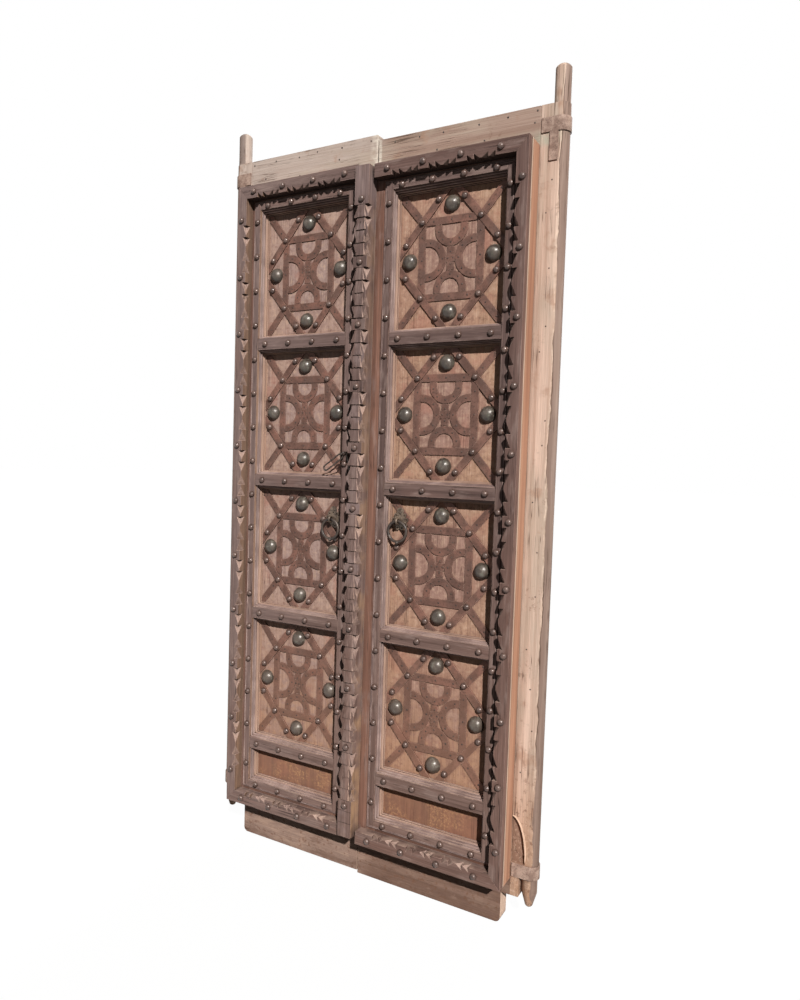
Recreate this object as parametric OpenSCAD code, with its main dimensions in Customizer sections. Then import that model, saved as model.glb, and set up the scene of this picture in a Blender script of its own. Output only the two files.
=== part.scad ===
/* [Leaves] */
// Left pivot axis to the meeting line
left_reach = 498; // [440:1:560]
// Right pivot axis to the meeting line
right_reach = 514; // [440:1:560]
// Height of the left leaf from its foot to the top of its back frame
left_leaf_h = 2099; // [2060:1:2300]
// Height of the right leaf from its foot to the top of its back frame
right_leaf_h = 2090; // [2060:1:2300]
// How much lower the right leaf hangs than the left one
right_drop = 7; // [0:0.5:12]
// Gap between the two leaves
meeting_gap = 3; // [2:0.5:6]
// Thickness of the back frame and its planks
back_t = 44; // [42:1:60]
// Height of the back top rail
back_top_h = 150; // [130:1:200]
// Height of the back bottom rail, with its foot
back_bottom_h = 165; // [160:1:220]
// Vertical planks in each leaf's back
plank_count = 3; // [2:1:4]
// Height of each ledge on the back
ledge_h = 70; // [50:1:110]
// Thickness of each ledge on the back
ledge_t = 24; // [15:1:35]

/* [Pivots] */
// Radius of the pivot pins
pivot_r = 20; // [16:0.5:20.5]
// Height of the top pins above the leaf
pivot_top_h = 99; // [80:1:140]
// Straight length of the bottom pins
pivot_bottom_h = 40; // [30:1:50]
// Length of the tapered tip of the bottom pins
pivot_tip_h = 34; // [20:1:40]
// Height of the bottom pins' shoulder above the foot
shoulder_h = 137; // [125:1:160]
// Pivot axis to the inner edge of the pivot stile
pivot_stile_w = 46; // [40:1:52]
// Height of the lip beside the bottom pins above the foot
lip_h = 84; // [60:1:110]
// Height of each iron band on the pivot stile
iron_band_h = 36; // [25:1:45]
// Thickness of the iron bands
iron_band_t = 3; // [2:0.5:5]
// Pivot axis to the ends of the iron bands
iron_band_reach = 43; // [36:1:44]

/* [Front frame] */
// Left pivot axis to the outer edge of the front frame
left_frame_inset = 60; // [46:1:66]
// Right pivot axis to the outer edge of the front frame
right_frame_inset = 46; // [46:1:66]
// Top of the front frame above the foot
frame_top = 1994; // [1985:1:2010]
// Bottom of the front frame above the foot
frame_bottom = 129; // [120:1:135]
// Thickness of the front frame at its sunk ground
ground_d = 45; // [38:1:50]
// How far the studded bands stand above the ground
band_rise = 7; // [4:0.5:10]
// Width of the studded bands
band_w = 20; // [18.5:0.5:24]
// Left hinge stile: frame edge to the middle of its band
left_hinge_margin = 57; // [50:1:64]
// Right hinge stile: frame edge to the middle of its band
right_hinge_margin = 52; // [50:1:64]
// Left meeting stile: meeting line to the middle of its band
left_meeting_margin = 49; // [46:1:60]
// Right meeting stile: meeting line to the middle of its band
right_meeting_margin = 72; // [60:1:80]
// Middle of the top band above the foot
top_band_z = 1936; // [1920:1:1938]
// Middle of the bottom band above the foot
bottom_band_z = 190; // [190:1:200]
// Distance from one cross rail to the next
row_pitch = 404.5; // [395:0.5:408]
// Height of the cross rails' face
rail_face_h = 34; // [28:1:40]
// Width of the sloping sides round each panel
bevel_w = 12; // [8:0.5:16]
// Small steps in that slope
bevel_step = 3; // [1.5:0.5:4]
// Thickness of the panels
panel_t = 20; // [14:1:28]

/* [Carved frame] */
// How far the carved frame stands above the ground
carved_rise = 30; // [24:1:36]
// Width of the carved stiles
carved_stile_w = 32; // [28:1:32]
// Height of the carved top and bottom rails
carved_rail_h = 37; // [30:1:38]
// Meeting line to the end of the right carved rails
carved_rail_clear = 35; // [32:1:45]
// Chip cuts between two studs
chip_count = 4; // [2:2:6]
// Width of a chip cut on the front face
chip_front = 13; // [8:0.5:15]
// Depth of a chip cut down the side
chip_side = 19; // [10:0.5:22]
// Plain length left at each stud
chip_plain = 30; // [24:1:40]
// Studs up a carved stile
stile_stud_count = 11; // [9:1:13]
// Frame end to the first stud of a carved stile
stile_stud_start = 98.5; // [70:0.5:120]
// Pivot axis to the first stud of a carved rail
rail_stud_start = 118; // [112:1:125]
// Distance between the studs of a carved rail
rail_stud_pitch = 107; // [95:0.5:108]

/* [Meeting bead] */
// Meeting line to the bead's left edge
bead_left = 17; // [14:1:20]
// Meeting line to the bead's right edge
bead_right = 27; // [20:1:28]
// How far the bead stands above the ground
bead_rise = 41; // [36:1:48]
// Gap between the bead and the leaf that it overlaps
bead_gap = 0.4; // [0.3:0.1:2]

/* [Ironwork] */
// Radius of the small studs
stud_r = 9; // [6:0.5:9]
// Height of the small studs
stud_h = 8.5; // [5:0.5:8.5]
// Radius of the panel bosses
boss_r = 22.5; // [18:0.5:23]
// Height of the panel bosses
boss_h = 18; // [12:0.5:20]
// Panel's side edge to the middle of a boss
boss_side_inset = 29; // [27:0.5:32]
// Panel's top or bottom edge to the middle of a boss
boss_end_inset = 37; // [33:0.5:41]
// Width of the iron straps
strap_w = 20; // [18.5:0.5:23]
// Thickness of the crossing straps
strap_t = 4.5; // [3.5:0.5:6]
// Thickness of the inlay straps under them
inlay_t = 3; // [2:0.5:3.5]
// Gap where two straps butt
strap_gap = 0.8; // [0.5:0.1:1.5]

/* [Ring handles] */
// Outer radius of the rings
ring_r = 32; // [28:1:34]
// Radius of the rings' round bar
ring_bar_r = 4; // [3:0.25:4.5]
// Height of the left ring's pivot above the third panel's lower edge
left_ring_rise = 272; // [255:1:290]
// Height of the right ring's pivot above the third panel's lower edge
right_ring_rise = 288; // [255:1:290]
// Gap between the left ring and the sloping side beside it
left_ring_clear = 4.5; // [1:0.5:16]
// Gap between the right ring and the sloping side beside it
right_ring_clear = 1.5; // [1:0.5:16]
// Radius of the handle plates
plate_r = 20; // [16:0.5:20.5]
// Thickness of the handle plates
plate_t = 3; // [2:0.5:4]

/* [Hasp] */
// Length of the hasp link
hasp_l = 78; // [60:1:85]
// Width of the hasp link
hasp_w = 19; // [17:0.5:22]
// Radius of the hasp's round bar
hasp_bar_r = 2.2; // [1.8:0.1:2.4]
// How far the hasp link leans from upright
hasp_lean = 55; // [45:1:65]
// Length of the staple's bent tail
tail_l = 56; // [40:1:62]
// Height of the staple above the second cross rail
staple_rise = 84; // [75:1:90]

/* [Hidden] */
$fn = 48;

// The two leaves by number
LEFT = 0;
RIGHT = 1;

// Colours of the woods and metals
frame_colour = "#6e5f5c";
panel_colour = "#b9967d";
margin_colour = "#cdb094";
strap_colour = "#825f52";
stud_colour = "#5a4a42";
boss_colour = "#78766a";
handle_colour = "#6b5a42";

// Cuts run this far past what they cut
over = 1;
// Working clearance between round pieces that touch, and of the hasp link on its staple
seat_clear = 0.3;
link_clear = 0.5;

// Depths in front of the back frame
band_d = ground_d + band_rise;
fillet_d = ground_d + band_rise / 2;
carved_d = ground_d + carved_rise;
bead_d = ground_d + bead_rise;
// Width of the low step beside each studded band
fillet_w = 6;
// How far the bead stops short of the frame's ends
bead_trim = 9;
// Clearance of the right leaf's front layers behind the bead
front_clear = 2.5;

// Rows of cross rails and panels
rail_count = 4;
panel_count = 4;
rail_stud_count = 4;
studs_per_row = 4;
// Opening edge to the first stud of a band or cross rail
band_stud_start = 28;
// First stud of an upright band below its cross rail, as a share of the studs' pitch
band_stud_share = 0.44;

// Foot of the back bottom rail: how far it is set in, and its rounded corner
foot_inset = 24;
foot_corner_r = 14;
// Gap between the lip and the bottom pin
lip_gap = 3;
// Rounded tops of the pins, and the radius of the bottom tips
pivot_cap_h = 11;
tip_end_r = 10;
tip_cap_h = 6;

// Top iron band: its place below the leaf's top, and the short tail under it
top_iron_drop = 33;
iron_tail_w = 22;
iron_tail_h = 70;

// Broken edge on the right pivot stile above its lower band
gouge_w = 37;
gouge_h = 122;
gouge_d = 7;
gouge_steps = 12;

// Length of a chip as a share of its room, and the studs' place across a carved stile
chip_length_share = 0.96;
stile_stud_share = 0.45;

// Strap pattern as shares of half a panel
diamond_share = 1.12;
arch_share = 0.28;
strap_stud_shares = [0.22, 0.5, 0.78];

// Ring handles and hasp
ring_gap = 0.6;
eye_bar_r = 3.2;
eye_stem_r = 3.6;
ring_knob_r = 5.5;
plate_lobes = 9;
plate_lobe_r = 6;
plate_hole_r = 2.4;
plate_dome_r = 14;
plate_dome_h = 2;
plate_crown_r = 11;
plate_margin = 1.5;
plate_collar_r = 7;
staple_bar_r = 2.4;
staple_hole_r = 6.2;
staple_leg = 7.5;
tail_lean = 15;

// Heights of rails and panels in a leaf
function rail_z(k) = top_band_z - row_pitch * k;
function panel_top(k) = rail_z(k - 1) - (k == 1 ? band_w : rail_face_h) / 2 - bevel_w;
function panel_bottom(k) = rail_z(k) + rail_face_h / 2 + bevel_w;
function sill_top() = rail_z(rail_count) - rail_face_h / 2 - bevel_w;
function sill_bottom() = bottom_band_z + band_w / 2 + bevel_w;

// Places across a leaf, from the pivot axis towards the meeting line
function reach(s) = s == LEFT ? left_reach : right_reach;
function back_end(s) = reach(s) - meeting_gap / 2;
function frame_inset(s) = s == LEFT ? left_frame_inset : right_frame_inset;
function leaf_h(s) = s == LEFT ? left_leaf_h : right_leaf_h;
function front_end(s) = back_end(s) - (s == LEFT ? 0 : front_clear);
function hinge_band(s) = frame_inset(s) + (s == LEFT ? left_hinge_margin : right_hinge_margin);
function meeting_band(s) = reach(s) - (s == LEFT ? left_meeting_margin : right_meeting_margin);
function open_lo(s) = hinge_band(s) + band_w / 2;
function open_hi(s) = meeting_band(s) - band_w / 2;
function panel_lo(s) = open_lo(s) + bevel_w;
function panel_hi(s) = open_hi(s) - bevel_w;
function carved_rail_end(s) = reach(s) - (s == LEFT ? bead_left : carved_rail_clear);

// Front planes: y of a depth in front of the back frame
function front(d) = -back_t / 2 - d;

// Heights of the studs on the carved stiles and the bead
stile_stud_pitch = (frame_top - frame_bottom - 2 * stile_stud_start) / (stile_stud_count - 1);
function stile_stud_z(i) = frame_bottom + stile_stud_start + i * stile_stud_pitch;
function rail_stud_u(i) = rail_stud_start + i * rail_stud_pitch;

// A leaf is drawn from its pivot axis and its foot; the origin is in the middle of the left bottom pin
module place(s) {
    pin_mid = shoulder_h - pivot_bottom_h / 2;
    if (s == LEFT)
        translate([0, 0, -pin_mid]) children();
    else
        translate([left_reach + right_reach, 0, -pin_mid - right_drop]) mirror([1, 0, 0]) children();
}

// A profile of [across, y] points, drawn up from z0 to z1
module upright(points, z0, z1) {
    translate([0, 0, z0]) linear_extrude(z1 - z0) polygon(points);
}

// A profile of [z, y] points, drawn across from u0 to u1
module crosswise(points, u0, u1) {
    translate([u1, 0, 0]) rotate([0, -90, 0]) linear_extrude(u1 - u0) polygon(points);
}

// A flat [across, z] shape, from one depth to another in front of the back frame
module facing(d0, d1) {
    translate([0, front(d0), 0]) rotate([90, 0, 0]) linear_extrude(d1 - d0) children();
}

// A domed head that stands on the plane z = 0
module dome(r, h) {
    ball = (r * r + h * h) / (2 * h);
    rotate_extrude() intersection() {
        translate([0, h - ball]) circle(ball);
        square([r, h]);
    }
}

// A dome on the front, at a depth
module front_dome(u, z, d, r, h) {
    translate([u, front(d), z]) rotate([90, 0, 0]) dome(r, h);
}

// Pivot stile: half-round outer edge, a pin at each end and a lip beside the bottom pin
module pivot_stile(s) color(margin_colour) difference() {
    union() {
        translate([0, 0, shoulder_h]) linear_extrude(leaf_h(s) - shoulder_h) union() {
            circle(back_t / 2);
            translate([0, -back_t / 2]) square([pivot_stile_w, back_t]);
        }
        translate([pivot_r + lip_gap, -back_t / 2, lip_h])
            cube([pivot_stile_w - pivot_r - lip_gap, back_t, shoulder_h - lip_h]);
        translate([0, 0, leaf_h(s)]) cylinder(h = pivot_top_h - pivot_cap_h, r = pivot_r);
        translate([0, 0, leaf_h(s) + pivot_top_h - pivot_cap_h]) dome(pivot_r, pivot_cap_h);
        translate([0, 0, shoulder_h - pivot_bottom_h]) cylinder(h = pivot_bottom_h, r = pivot_r);
        translate([0, 0, shoulder_h - pivot_bottom_h]) mirror([0, 0, 1]) {
            cylinder(h = pivot_tip_h, r1 = pivot_r, r2 = tip_end_r);
            translate([0, 0, pivot_tip_h]) dome(tip_end_r, tip_cap_h);
        }
    }
    if (s == RIGHT) gouge();
}

// The scoop where a splinter has come off the pivot stile's face
module gouge() {
    low = shoulder_h + iron_band_h;
    facing(-gouge_d, over) polygon(concat(
        [[pivot_stile_w + over, low], [pivot_stile_w - gouge_w, low]],
        [for (i = [1 : gouge_steps])
            [pivot_stile_w - gouge_w * cos(90 * i / gouge_steps), low + gouge_h * sin(90 * i / gouge_steps)]],
        [[pivot_stile_w + over, low + gouge_h]]
    ));
}

// Iron bands round the pivot stile, the top one with a short tail
module iron_band(z) {
    translate([0, 0, z]) linear_extrude(iron_band_h) difference() {
        union() {
            circle(back_t / 2 + iron_band_t);
            translate([0, -back_t / 2 - iron_band_t])
                square([iron_band_reach, back_t + 2 * iron_band_t]);
        }
        circle(back_t / 2);
        translate([0, -back_t / 2]) square([iron_band_reach + over, back_t]);
    }
}

module pivot_bands(s) color(stud_colour) {
    top_z = leaf_h(s) - top_iron_drop - iron_band_h;
    iron_band(shoulder_h);
    iron_band(top_z);
    facing(0, iron_band_t)
        translate([0, top_z - iron_tail_h]) square([iron_tail_w, iron_tail_h]);
}

// Back frame and planks
module back_top_rail(s) color(margin_colour)
    translate([pivot_stile_w, -back_t / 2, leaf_h(s) - back_top_h])
        cube([back_end(s) - pivot_stile_w, back_t, back_top_h]);

module back_bottom_rail(s) color(margin_colour) {
    lo = pivot_stile_w + foot_inset;
    facing(-back_t, 0) difference() {
        union() {
            translate([lo, 0]) square([back_end(s) - lo, back_bottom_h]);
            translate([pivot_stile_w, lip_h]) square([foot_inset + over, back_bottom_h - lip_h]);
        }
        translate([lo, 0]) difference() {
            square(foot_corner_r);
            translate([foot_corner_r, foot_corner_r]) circle(foot_corner_r);
        }
    }
}

module back_planks(s) color(margin_colour) {
    w = (back_end(s) - pivot_stile_w) / plank_count;
    h = leaf_h(s) - back_top_h - back_bottom_h;
    for (i = [0 : plank_count - 1])
        translate([pivot_stile_w + i * w + (i == 0 ? 0 : strap_gap), -back_t / 2, back_bottom_h])
            cube([w - (i == 0 ? 0 : strap_gap), back_t, h]);
}

// Ledges across the back, one behind each cross rail
module back_ledges(s) color(margin_colour) {
    for (k = [1 : rail_count])
        translate([pivot_stile_w, back_t / 2, rail_z(k) - ledge_h / 2])
            cube([back_end(s) - foot_inset - pivot_stile_w, ledge_t, ledge_h]);
}

// Stepped slope beside a band: [distance from the opening's edge, depth]
slope = [
    [0, band_d], [0, band_d - bevel_step], [bevel_w - bevel_step, panel_t + bevel_step],
    [bevel_w, panel_t + bevel_step], [bevel_w, 0]
];

// Profile from the outer edge to the panel; dir is the way to the opening
function edge_profile(edge, band, dir) = concat(
    [[edge, front(0)], [edge, front(ground_d)]],
    [for (d = [ground_d, fillet_d]) [band - dir * (band_w / 2 + fillet_w), front(d)]],
    [for (d = [fillet_d, band_d]) [band - dir * band_w / 2, front(d)]],
    [for (p = slope) [band + dir * (band_w / 2 + p[0]), front(p[1])]]
);

// Outline of a cross rail with its mitred slopes
module rail_outline(s, z_lo, z_hi, slope_lo, slope_hi) {
    polygon([
        [open_lo(s), z_lo], [open_lo(s) + slope_lo, z_lo - slope_lo],
        [open_hi(s) - slope_lo, z_lo - slope_lo], [open_hi(s), z_lo],
        [open_hi(s), z_hi], [open_hi(s) - slope_hi, z_hi + slope_hi],
        [open_lo(s) + slope_hi, z_hi + slope_hi], [open_lo(s), z_hi]
    ]);
}

// What the rails take out of a stile's slope
module rail_housings(s) {
    facing(-over, band_d + over) {
        for (k = [1 : rail_count])
            rail_outline(s, rail_z(k) - rail_face_h / 2, rail_z(k) + rail_face_h / 2, bevel_w, bevel_w);
        rail_outline(s, top_band_z - band_w / 2, frame_top + over, bevel_w, 0);
        rail_outline(s, frame_bottom - over, bottom_band_z + band_w / 2, 0, bevel_w);
    }
}

// The ground and the low step run round the ends of a stile
module stile_ends(s) {
    lo = frame_inset(s) - over;
    w = reach(s) - lo + over;
    for (d = [[ground_d, band_w / 2 + fillet_w], [fillet_d, band_w / 2]]) {
        facing(d[0], band_d + over) {
            translate([lo, top_band_z + d[1]]) square([w, frame_top - top_band_z]);
            translate([lo, frame_bottom - over]) square([w, bottom_band_z - d[1] - frame_bottom + over]);
        }
    }
}

module front_stile(s, edge, band, dir) color(frame_colour) difference() {
    upright(edge_profile(edge, band, dir), frame_bottom, frame_top);
    rail_housings(s);
    stile_ends(s);
}

module hinge_stile(s) front_stile(s, frame_inset(s), hinge_band(s), 1);

module meeting_stile(s) front_stile(s, front_end(s), meeting_band(s), -1);

module top_rail(s) color(frame_colour) intersection() {
    crosswise(edge_profile(frame_top, top_band_z, -1), open_lo(s), open_hi(s));
    facing(-over, band_d + over) rail_outline(s, top_band_z - band_w / 2, frame_top, bevel_w, 0);
}

module bottom_rail(s) color(frame_colour) intersection() {
    crosswise(edge_profile(frame_bottom, bottom_band_z, 1), open_lo(s), open_hi(s));
    facing(-over, band_d + over) rail_outline(s, frame_bottom, bottom_band_z + band_w / 2, 0, bevel_w);
}

module cross_rail(s, k) color(frame_colour) {
    lo = rail_z(k) - rail_face_h / 2;
    hi = rail_z(k) + rail_face_h / 2;
    last = len(slope) - 1;
    intersection() {
        crosswise(concat(
            [for (i = [last : -1 : 0]) [lo - slope[i][0], front(slope[i][1])]],
            [for (i = [0 : last]) [hi + slope[i][0], front(slope[i][1])]]
        ), open_lo(s), open_hi(s));
        facing(-over, band_d + over) rail_outline(s, lo, hi, bevel_w, bevel_w);
    }
}

// Panels
module board(s, z0, z1) color(panel_colour)
    facing(0, panel_t) translate([panel_lo(s), z0]) square([panel_hi(s) - panel_lo(s), z1 - z0]);

module panel(s, k) board(s, panel_bottom(k), panel_top(k));

module sill_panel(s) board(s, sill_bottom(), sill_top());

// A chip cut on an edge along +Z: it starts deep at z = 0 and runs out to a point.
// The front face is at y = 0 with the wood behind it, and the wood lies on the side of -x.
module chip(l) {
    polyhedron(
        points = [
            [over, -over, 0], [-chip_front - chip_front * over / chip_side, -over, 0],
            [over, chip_side + chip_side * over / chip_front, 0], [over, -over, l]
        ],
        faces = [[0, 2, 1], [0, 1, 3], [1, 2, 3], [2, 0, 3]]
    );
}

// The chips between two studs, each deep at the end that is nearer to a stud
module chip_run(pitch) {
    room = (pitch - chip_plain) / chip_count;
    for (i = [0 : chip_count - 1]) {
        start = chip_plain / 2 + i * room;
        if (i < chip_count / 2)
            translate([0, 0, start]) chip(room * chip_length_share);
        else
            translate([0, 0, start + room]) mirror([0, 0, 1]) chip(room * chip_length_share);
    }
}

// Chips up an edge at u, on every gap between the stile studs; dir points away from the wood
module edge_chips(u, d, dir) {
    for (i = [0 : stile_stud_count - 2])
        translate([u, front(d), stile_stud_z(i)]) mirror([dir > 0 ? 0 : 1, 0, 0])
            chip_run(stile_stud_pitch);
}

// Chips along a rail's edge at height z; dir points away from the wood
module rail_chips(z, dir) {
    for (i = [0 : rail_stud_count - 2])
        translate([rail_stud_u(i), front(carved_d), z]) rotate([0, 90, 0])
            mirror([dir > 0 ? 1 : 0, 0, 0]) chip_run(rail_stud_pitch);
}

// Carved frame, mitred at its corners
module carved_mitre(s, top) {
    z = top ? frame_top : frame_bottom;
    way = top ? -1 : 1;
    lo = frame_inset(s);
    hi = lo + carved_stile_w;
    rise = carved_rail_h / carved_stile_w;
    facing(ground_d - over, carved_d + over) polygon([
        [lo - over, z - way * over * rise],
        [hi + over, z + way * (carved_rail_h + over * rise)],
        [hi + over, z - way * carved_rail_h],
        [lo - over, z - way * carved_rail_h]
    ]);
}

module carved_stile(s) color(frame_colour) difference() {
    facing(ground_d, carved_d)
        translate([frame_inset(s), frame_bottom]) square([carved_stile_w, frame_top - frame_bottom]);
    carved_mitre(s, true);
    carved_mitre(s, false);
    edge_chips(frame_inset(s) + carved_stile_w, carved_d, 1);
}

module carved_rail(s, top) color(frame_colour) {
    z = top ? frame_top - carved_rail_h : frame_bottom;
    w = carved_rail_end(s) - frame_inset(s);
    difference() {
        intersection() {
            facing(ground_d, carved_d) translate([frame_inset(s), z]) square([w, carved_rail_h]);
            union() {
                carved_mitre(s, top);
                facing(ground_d - over, carved_d + over)
                    translate([frame_inset(s) + carved_stile_w, z - over])
                        square([w, carved_rail_h + 2 * over]);
            }
        }
        rail_chips(top ? z : z + carved_rail_h, top ? -1 : 1);
    }
}

module carved_top_rail(s) carved_rail(s, true);

module carved_bottom_rail(s) carved_rail(s, false);

// Meeting bead: fixed to the left leaf, over the joint with the right one
module meeting_bead() color(frame_colour) difference() {
    facing(ground_d, bead_d) translate([left_reach - bead_left, frame_bottom + bead_trim])
        square([bead_left + bead_right, frame_top - frame_bottom - 2 * bead_trim]);
    facing(ground_d - over, ground_d + bead_gap)
        translate([left_reach - meeting_gap / 2, frame_bottom])
            square([bead_right + meeting_gap, frame_top - frame_bottom]);
    edge_chips(left_reach + bead_right, bead_d, 1);
    edge_chips(left_reach - bead_left, bead_d, -1);
}

// Iron strap pattern of one panel, drawn from the panel's middle; hw and hh are half its sides
module strap_line(a, b, w) {
    run = [b[0] - a[0], b[1] - a[1]];
    translate(a) rotate(atan2(run[1], run[0])) translate([0, -w / 2]) square([norm(run), w]);
}

module four_ways() {
    for (mx = [0, 1], my = [0, 1]) mirror([mx, 0]) mirror([0, my]) children();
}

module crossing_straps(hw, hh, w) {
    intersection() {
        square([2 * hw, 2 * hh], center = true);
        four_ways() strap_line([hw * diamond_share, 0], [0, hh * diamond_share], w);
    }
}

module arch(r, lift) {
    difference() {
        union() {
            translate([0, lift]) circle(r);
            translate([-r, 0]) square([2 * r, lift]);
        }
        translate([0, lift]) circle(r - strap_w);
        translate([-r + strap_w, -over]) square([2 * (r - strap_w), lift + over]);
        translate([-r - over, -2 * r]) square([2 * (r + over), 2 * r]);
    }
}

module inlay_straps(hw, hh) {
    a = hw * diamond_share / 2;
    b = hh * diamond_share / 2;
    side_r = 2 * b * arch_share;
    top_r = 2 * a * arch_share;
    lift = strap_w / 2;
    rim = strap_w / 2 + strap_gap;
    half_x = a - rim - side_r - strap_gap - lift / 2;
    half_z = b - rim - top_r - strap_gap - lift;
    difference() {
        union() {
            for (m = [0, 1]) {
                mirror([m, 0]) translate([a, 0]) square([strap_w, 2 * b], center = true);
                mirror([0, m]) translate([0, b]) square([2 * (a - rim), strap_w], center = true);
                mirror([m, 0]) translate([a - rim, 0]) rotate(90) arch(side_r, lift / 2);
                mirror([0, m]) translate([0, b - rim]) rotate(180) arch(top_r, lift);
                mirror([0, m]) translate([-strap_w / 2, strap_w / 2 + strap_gap])
                    square([strap_w, max(half_z - strap_w / 2 - strap_gap, strap_gap)]);
            }
            square([2 * half_x, strap_w], center = true);
            four_ways() intersection() {
                square([hw, hh]);
                strap_line([a, b], [2 * hw - a, 2 * hh - b], strap_w);
            }
        }
        crossing_straps(hw, hh, strap_w + 2 * strap_gap);
    }
}

module strapwork(s) color(strap_colour) {
    hw = (panel_hi(s) - panel_lo(s)) / 2;
    for (k = [1 : panel_count]) {
        hh = (panel_top(k) - panel_bottom(k)) / 2;
        mid = [panel_lo(s) + hw, panel_bottom(k) + hh];
        facing(panel_t, panel_t + strap_t) translate(mid) crossing_straps(hw, hh, strap_w);
        facing(panel_t, panel_t + inlay_t) translate(mid) inlay_straps(hw, hh);
    }
}

// Radius of a boss between the inlay strap and the panel's edge, on half a side
function boss_room(half, inset) =
    (half * (1 - diamond_share / 2) - strap_w / 2 - seat_clear) / (1 + inset / boss_r);

// Inset at which a boss clears the crossing straps: the boss lies along one half side, across the other
function boss_clear_inset(r, along, across) =
    (r + strap_w / 2 + seat_clear) * norm([along, across]) / across - (diamond_share - 1) * along;

// Bosses at the middle of each side of the panels
module bosses(s) color(boss_colour) {
    hw = (panel_hi(s) - panel_lo(s)) / 2;
    for (k = [1 : panel_count]) {
        hh = (panel_top(k) - panel_bottom(k)) / 2;
        r = min(boss_r, boss_room(hw, boss_side_inset), boss_room(hh, boss_end_inset));
        share = r / boss_r;
        side = hw - max(boss_side_inset * share, boss_clear_inset(r, hw, hh));
        end = hh - max(boss_end_inset * share, boss_clear_inset(r, hh, hw));
        for (m = [-1, 1], p = [[side, 0], [0, end]])
            front_dome(
                panel_lo(s) + hw + m * p[0], panel_bottom(k) + hh + m * p[1],
                panel_t, r, boss_h * share
            );
    }
}

// Studs on a leaf: bands, cross rails, carved frame, bead and straps
module studs(s) color(stud_colour) {
    pitch = (open_hi(s) - open_lo(s) - 2 * band_stud_start) / (rail_stud_count - 1);
    for (i = [0 : rail_stud_count - 1]) {
        for (z = [top_band_z, bottom_band_z, for (k = [1 : rail_count]) rail_z(k)])
            front_dome(open_lo(s) + band_stud_start + i * pitch, z, band_d, stud_r, stud_h);
        for (z = [frame_top - carved_rail_h / 2, frame_bottom + carved_rail_h / 2])
            front_dome(rail_stud_u(i), z, carved_d, stud_r, stud_h);
    }
    for (u = [hinge_band(s), meeting_band(s)]) {
        for (k = [0 : panel_count - 1], i = [0 : studs_per_row - 1])
            front_dome(
                u, rail_z(k) - row_pitch * (i + band_stud_share) / studs_per_row,
                band_d, stud_r, stud_h
            );
        front_dome(u, (sill_top() + sill_bottom()) / 2, band_d, stud_r, stud_h);
    }
    stile_u = frame_inset(s) + carved_stile_w * stile_stud_share;
    for (i = [0 : stile_stud_count - 1]) {
        front_dome(stile_u, stile_stud_z(i), carved_d, stud_r, stud_h);
        if (s == LEFT)
            front_dome(left_reach + (bead_right - bead_left) / 2, stile_stud_z(i), bead_d, stud_r, stud_h);
    }
    strap_studs(s);
}

module strap_studs(s) {
    hw = (panel_hi(s) - panel_lo(s)) / 2;
    for (k = [1 : panel_count]) {
        hh = (panel_top(k) - panel_bottom(k)) / 2;
        for (mx = [-1, 1], mz = [-1, 1], t = strap_stud_shares)
            front_dome(
                panel_lo(s) + hw + mx * hw * diamond_share * (1 - t),
                panel_bottom(k) + hh + mz * hh * diamond_share * t,
                panel_t + strap_t, stud_r, stud_h
            );
    }
}

// Ring handles on the third panel, beside the meeting stile.
// Depth of the ring's bar: clear of the studs behind it, with its eye clear of the plate
eye_foot_d = panel_t + inlay_t + plate_t + plate_dome_h + seat_clear;
ring_d = max(panel_t + strap_t + stud_h, eye_foot_d + 2 * eye_bar_r) + ring_bar_r + ring_gap;
// Width of the sloping side where the back of the ring's bar passes it
ring_wall = (bevel_w - bevel_step) * (band_d - bevel_step - ring_d + ring_bar_r)
    / (band_d - panel_t - 2 * bevel_step);
function ring_clear(s) = s == LEFT ? left_ring_clear : right_ring_clear;
function ring_u(s) = open_hi(s) - max(ring_wall, 0) - ring_clear(s) - ring_r;
function ring_pivot_z(s) = panel_bottom(3) + (s == LEFT ? left_ring_rise : right_ring_rise);

module at_handle(s, d) {
    translate([ring_u(s), front(d), ring_pivot_z(s)]) rotate([90, 0, 0]) children();
}

plate_top = plate_r + plate_lobe_r + plate_crown_r;
module plate_outline() {
    circle(plate_r);
    for (i = [0 : plate_lobes - 1])
        rotate(90 + 360 * i / plate_lobes) translate([plate_r, 0]) circle(plate_lobe_r);
    translate([0, plate_r + plate_lobe_r]) circle(plate_crown_r);
}

// A plate lies on the inlay straps with a collar under it, and stops at the crossing straps
module handle_plate(s) color(handle_colour) {
    hw = (panel_hi(s) - panel_lo(s)) / 2;
    hh = (panel_top(3) - panel_bottom(3)) / 2;
    top = inlay_t + plate_t;
    at_handle(s, panel_t) difference() {
        union() {
            cylinder(h = inlay_t, r = plate_collar_r);
            translate([0, 0, inlay_t]) linear_extrude(plate_t) intersection() {
                plate_outline();
                translate([-2 * plate_r, -2 * plate_r])
                    square([2 * plate_r + panel_hi(s) - ring_u(s) - plate_margin, 2 * plate_r + plate_top]);
            }
            translate([0, 0, top]) dome(plate_dome_r, plate_dome_h);
        }
        translate([panel_lo(s) + hw - ring_u(s), panel_bottom(3) + hh - ring_pivot_z(s), -over])
            linear_extrude(top + plate_dome_h + 2 * over)
                crossing_straps(hw, hh, strap_w + 2 * strap_gap);
        for (i = [0 : plate_lobes - 1])
            rotate(90 + 360 * i / plate_lobes) translate([plate_r, 0, -over])
                cylinder(h = top + 2 * over, r = plate_hole_r);
        translate([0, 0, -over]) cylinder(h = top + plate_dome_h + 2 * over, r = eye_stem_r + seat_clear);
    }
}

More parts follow.
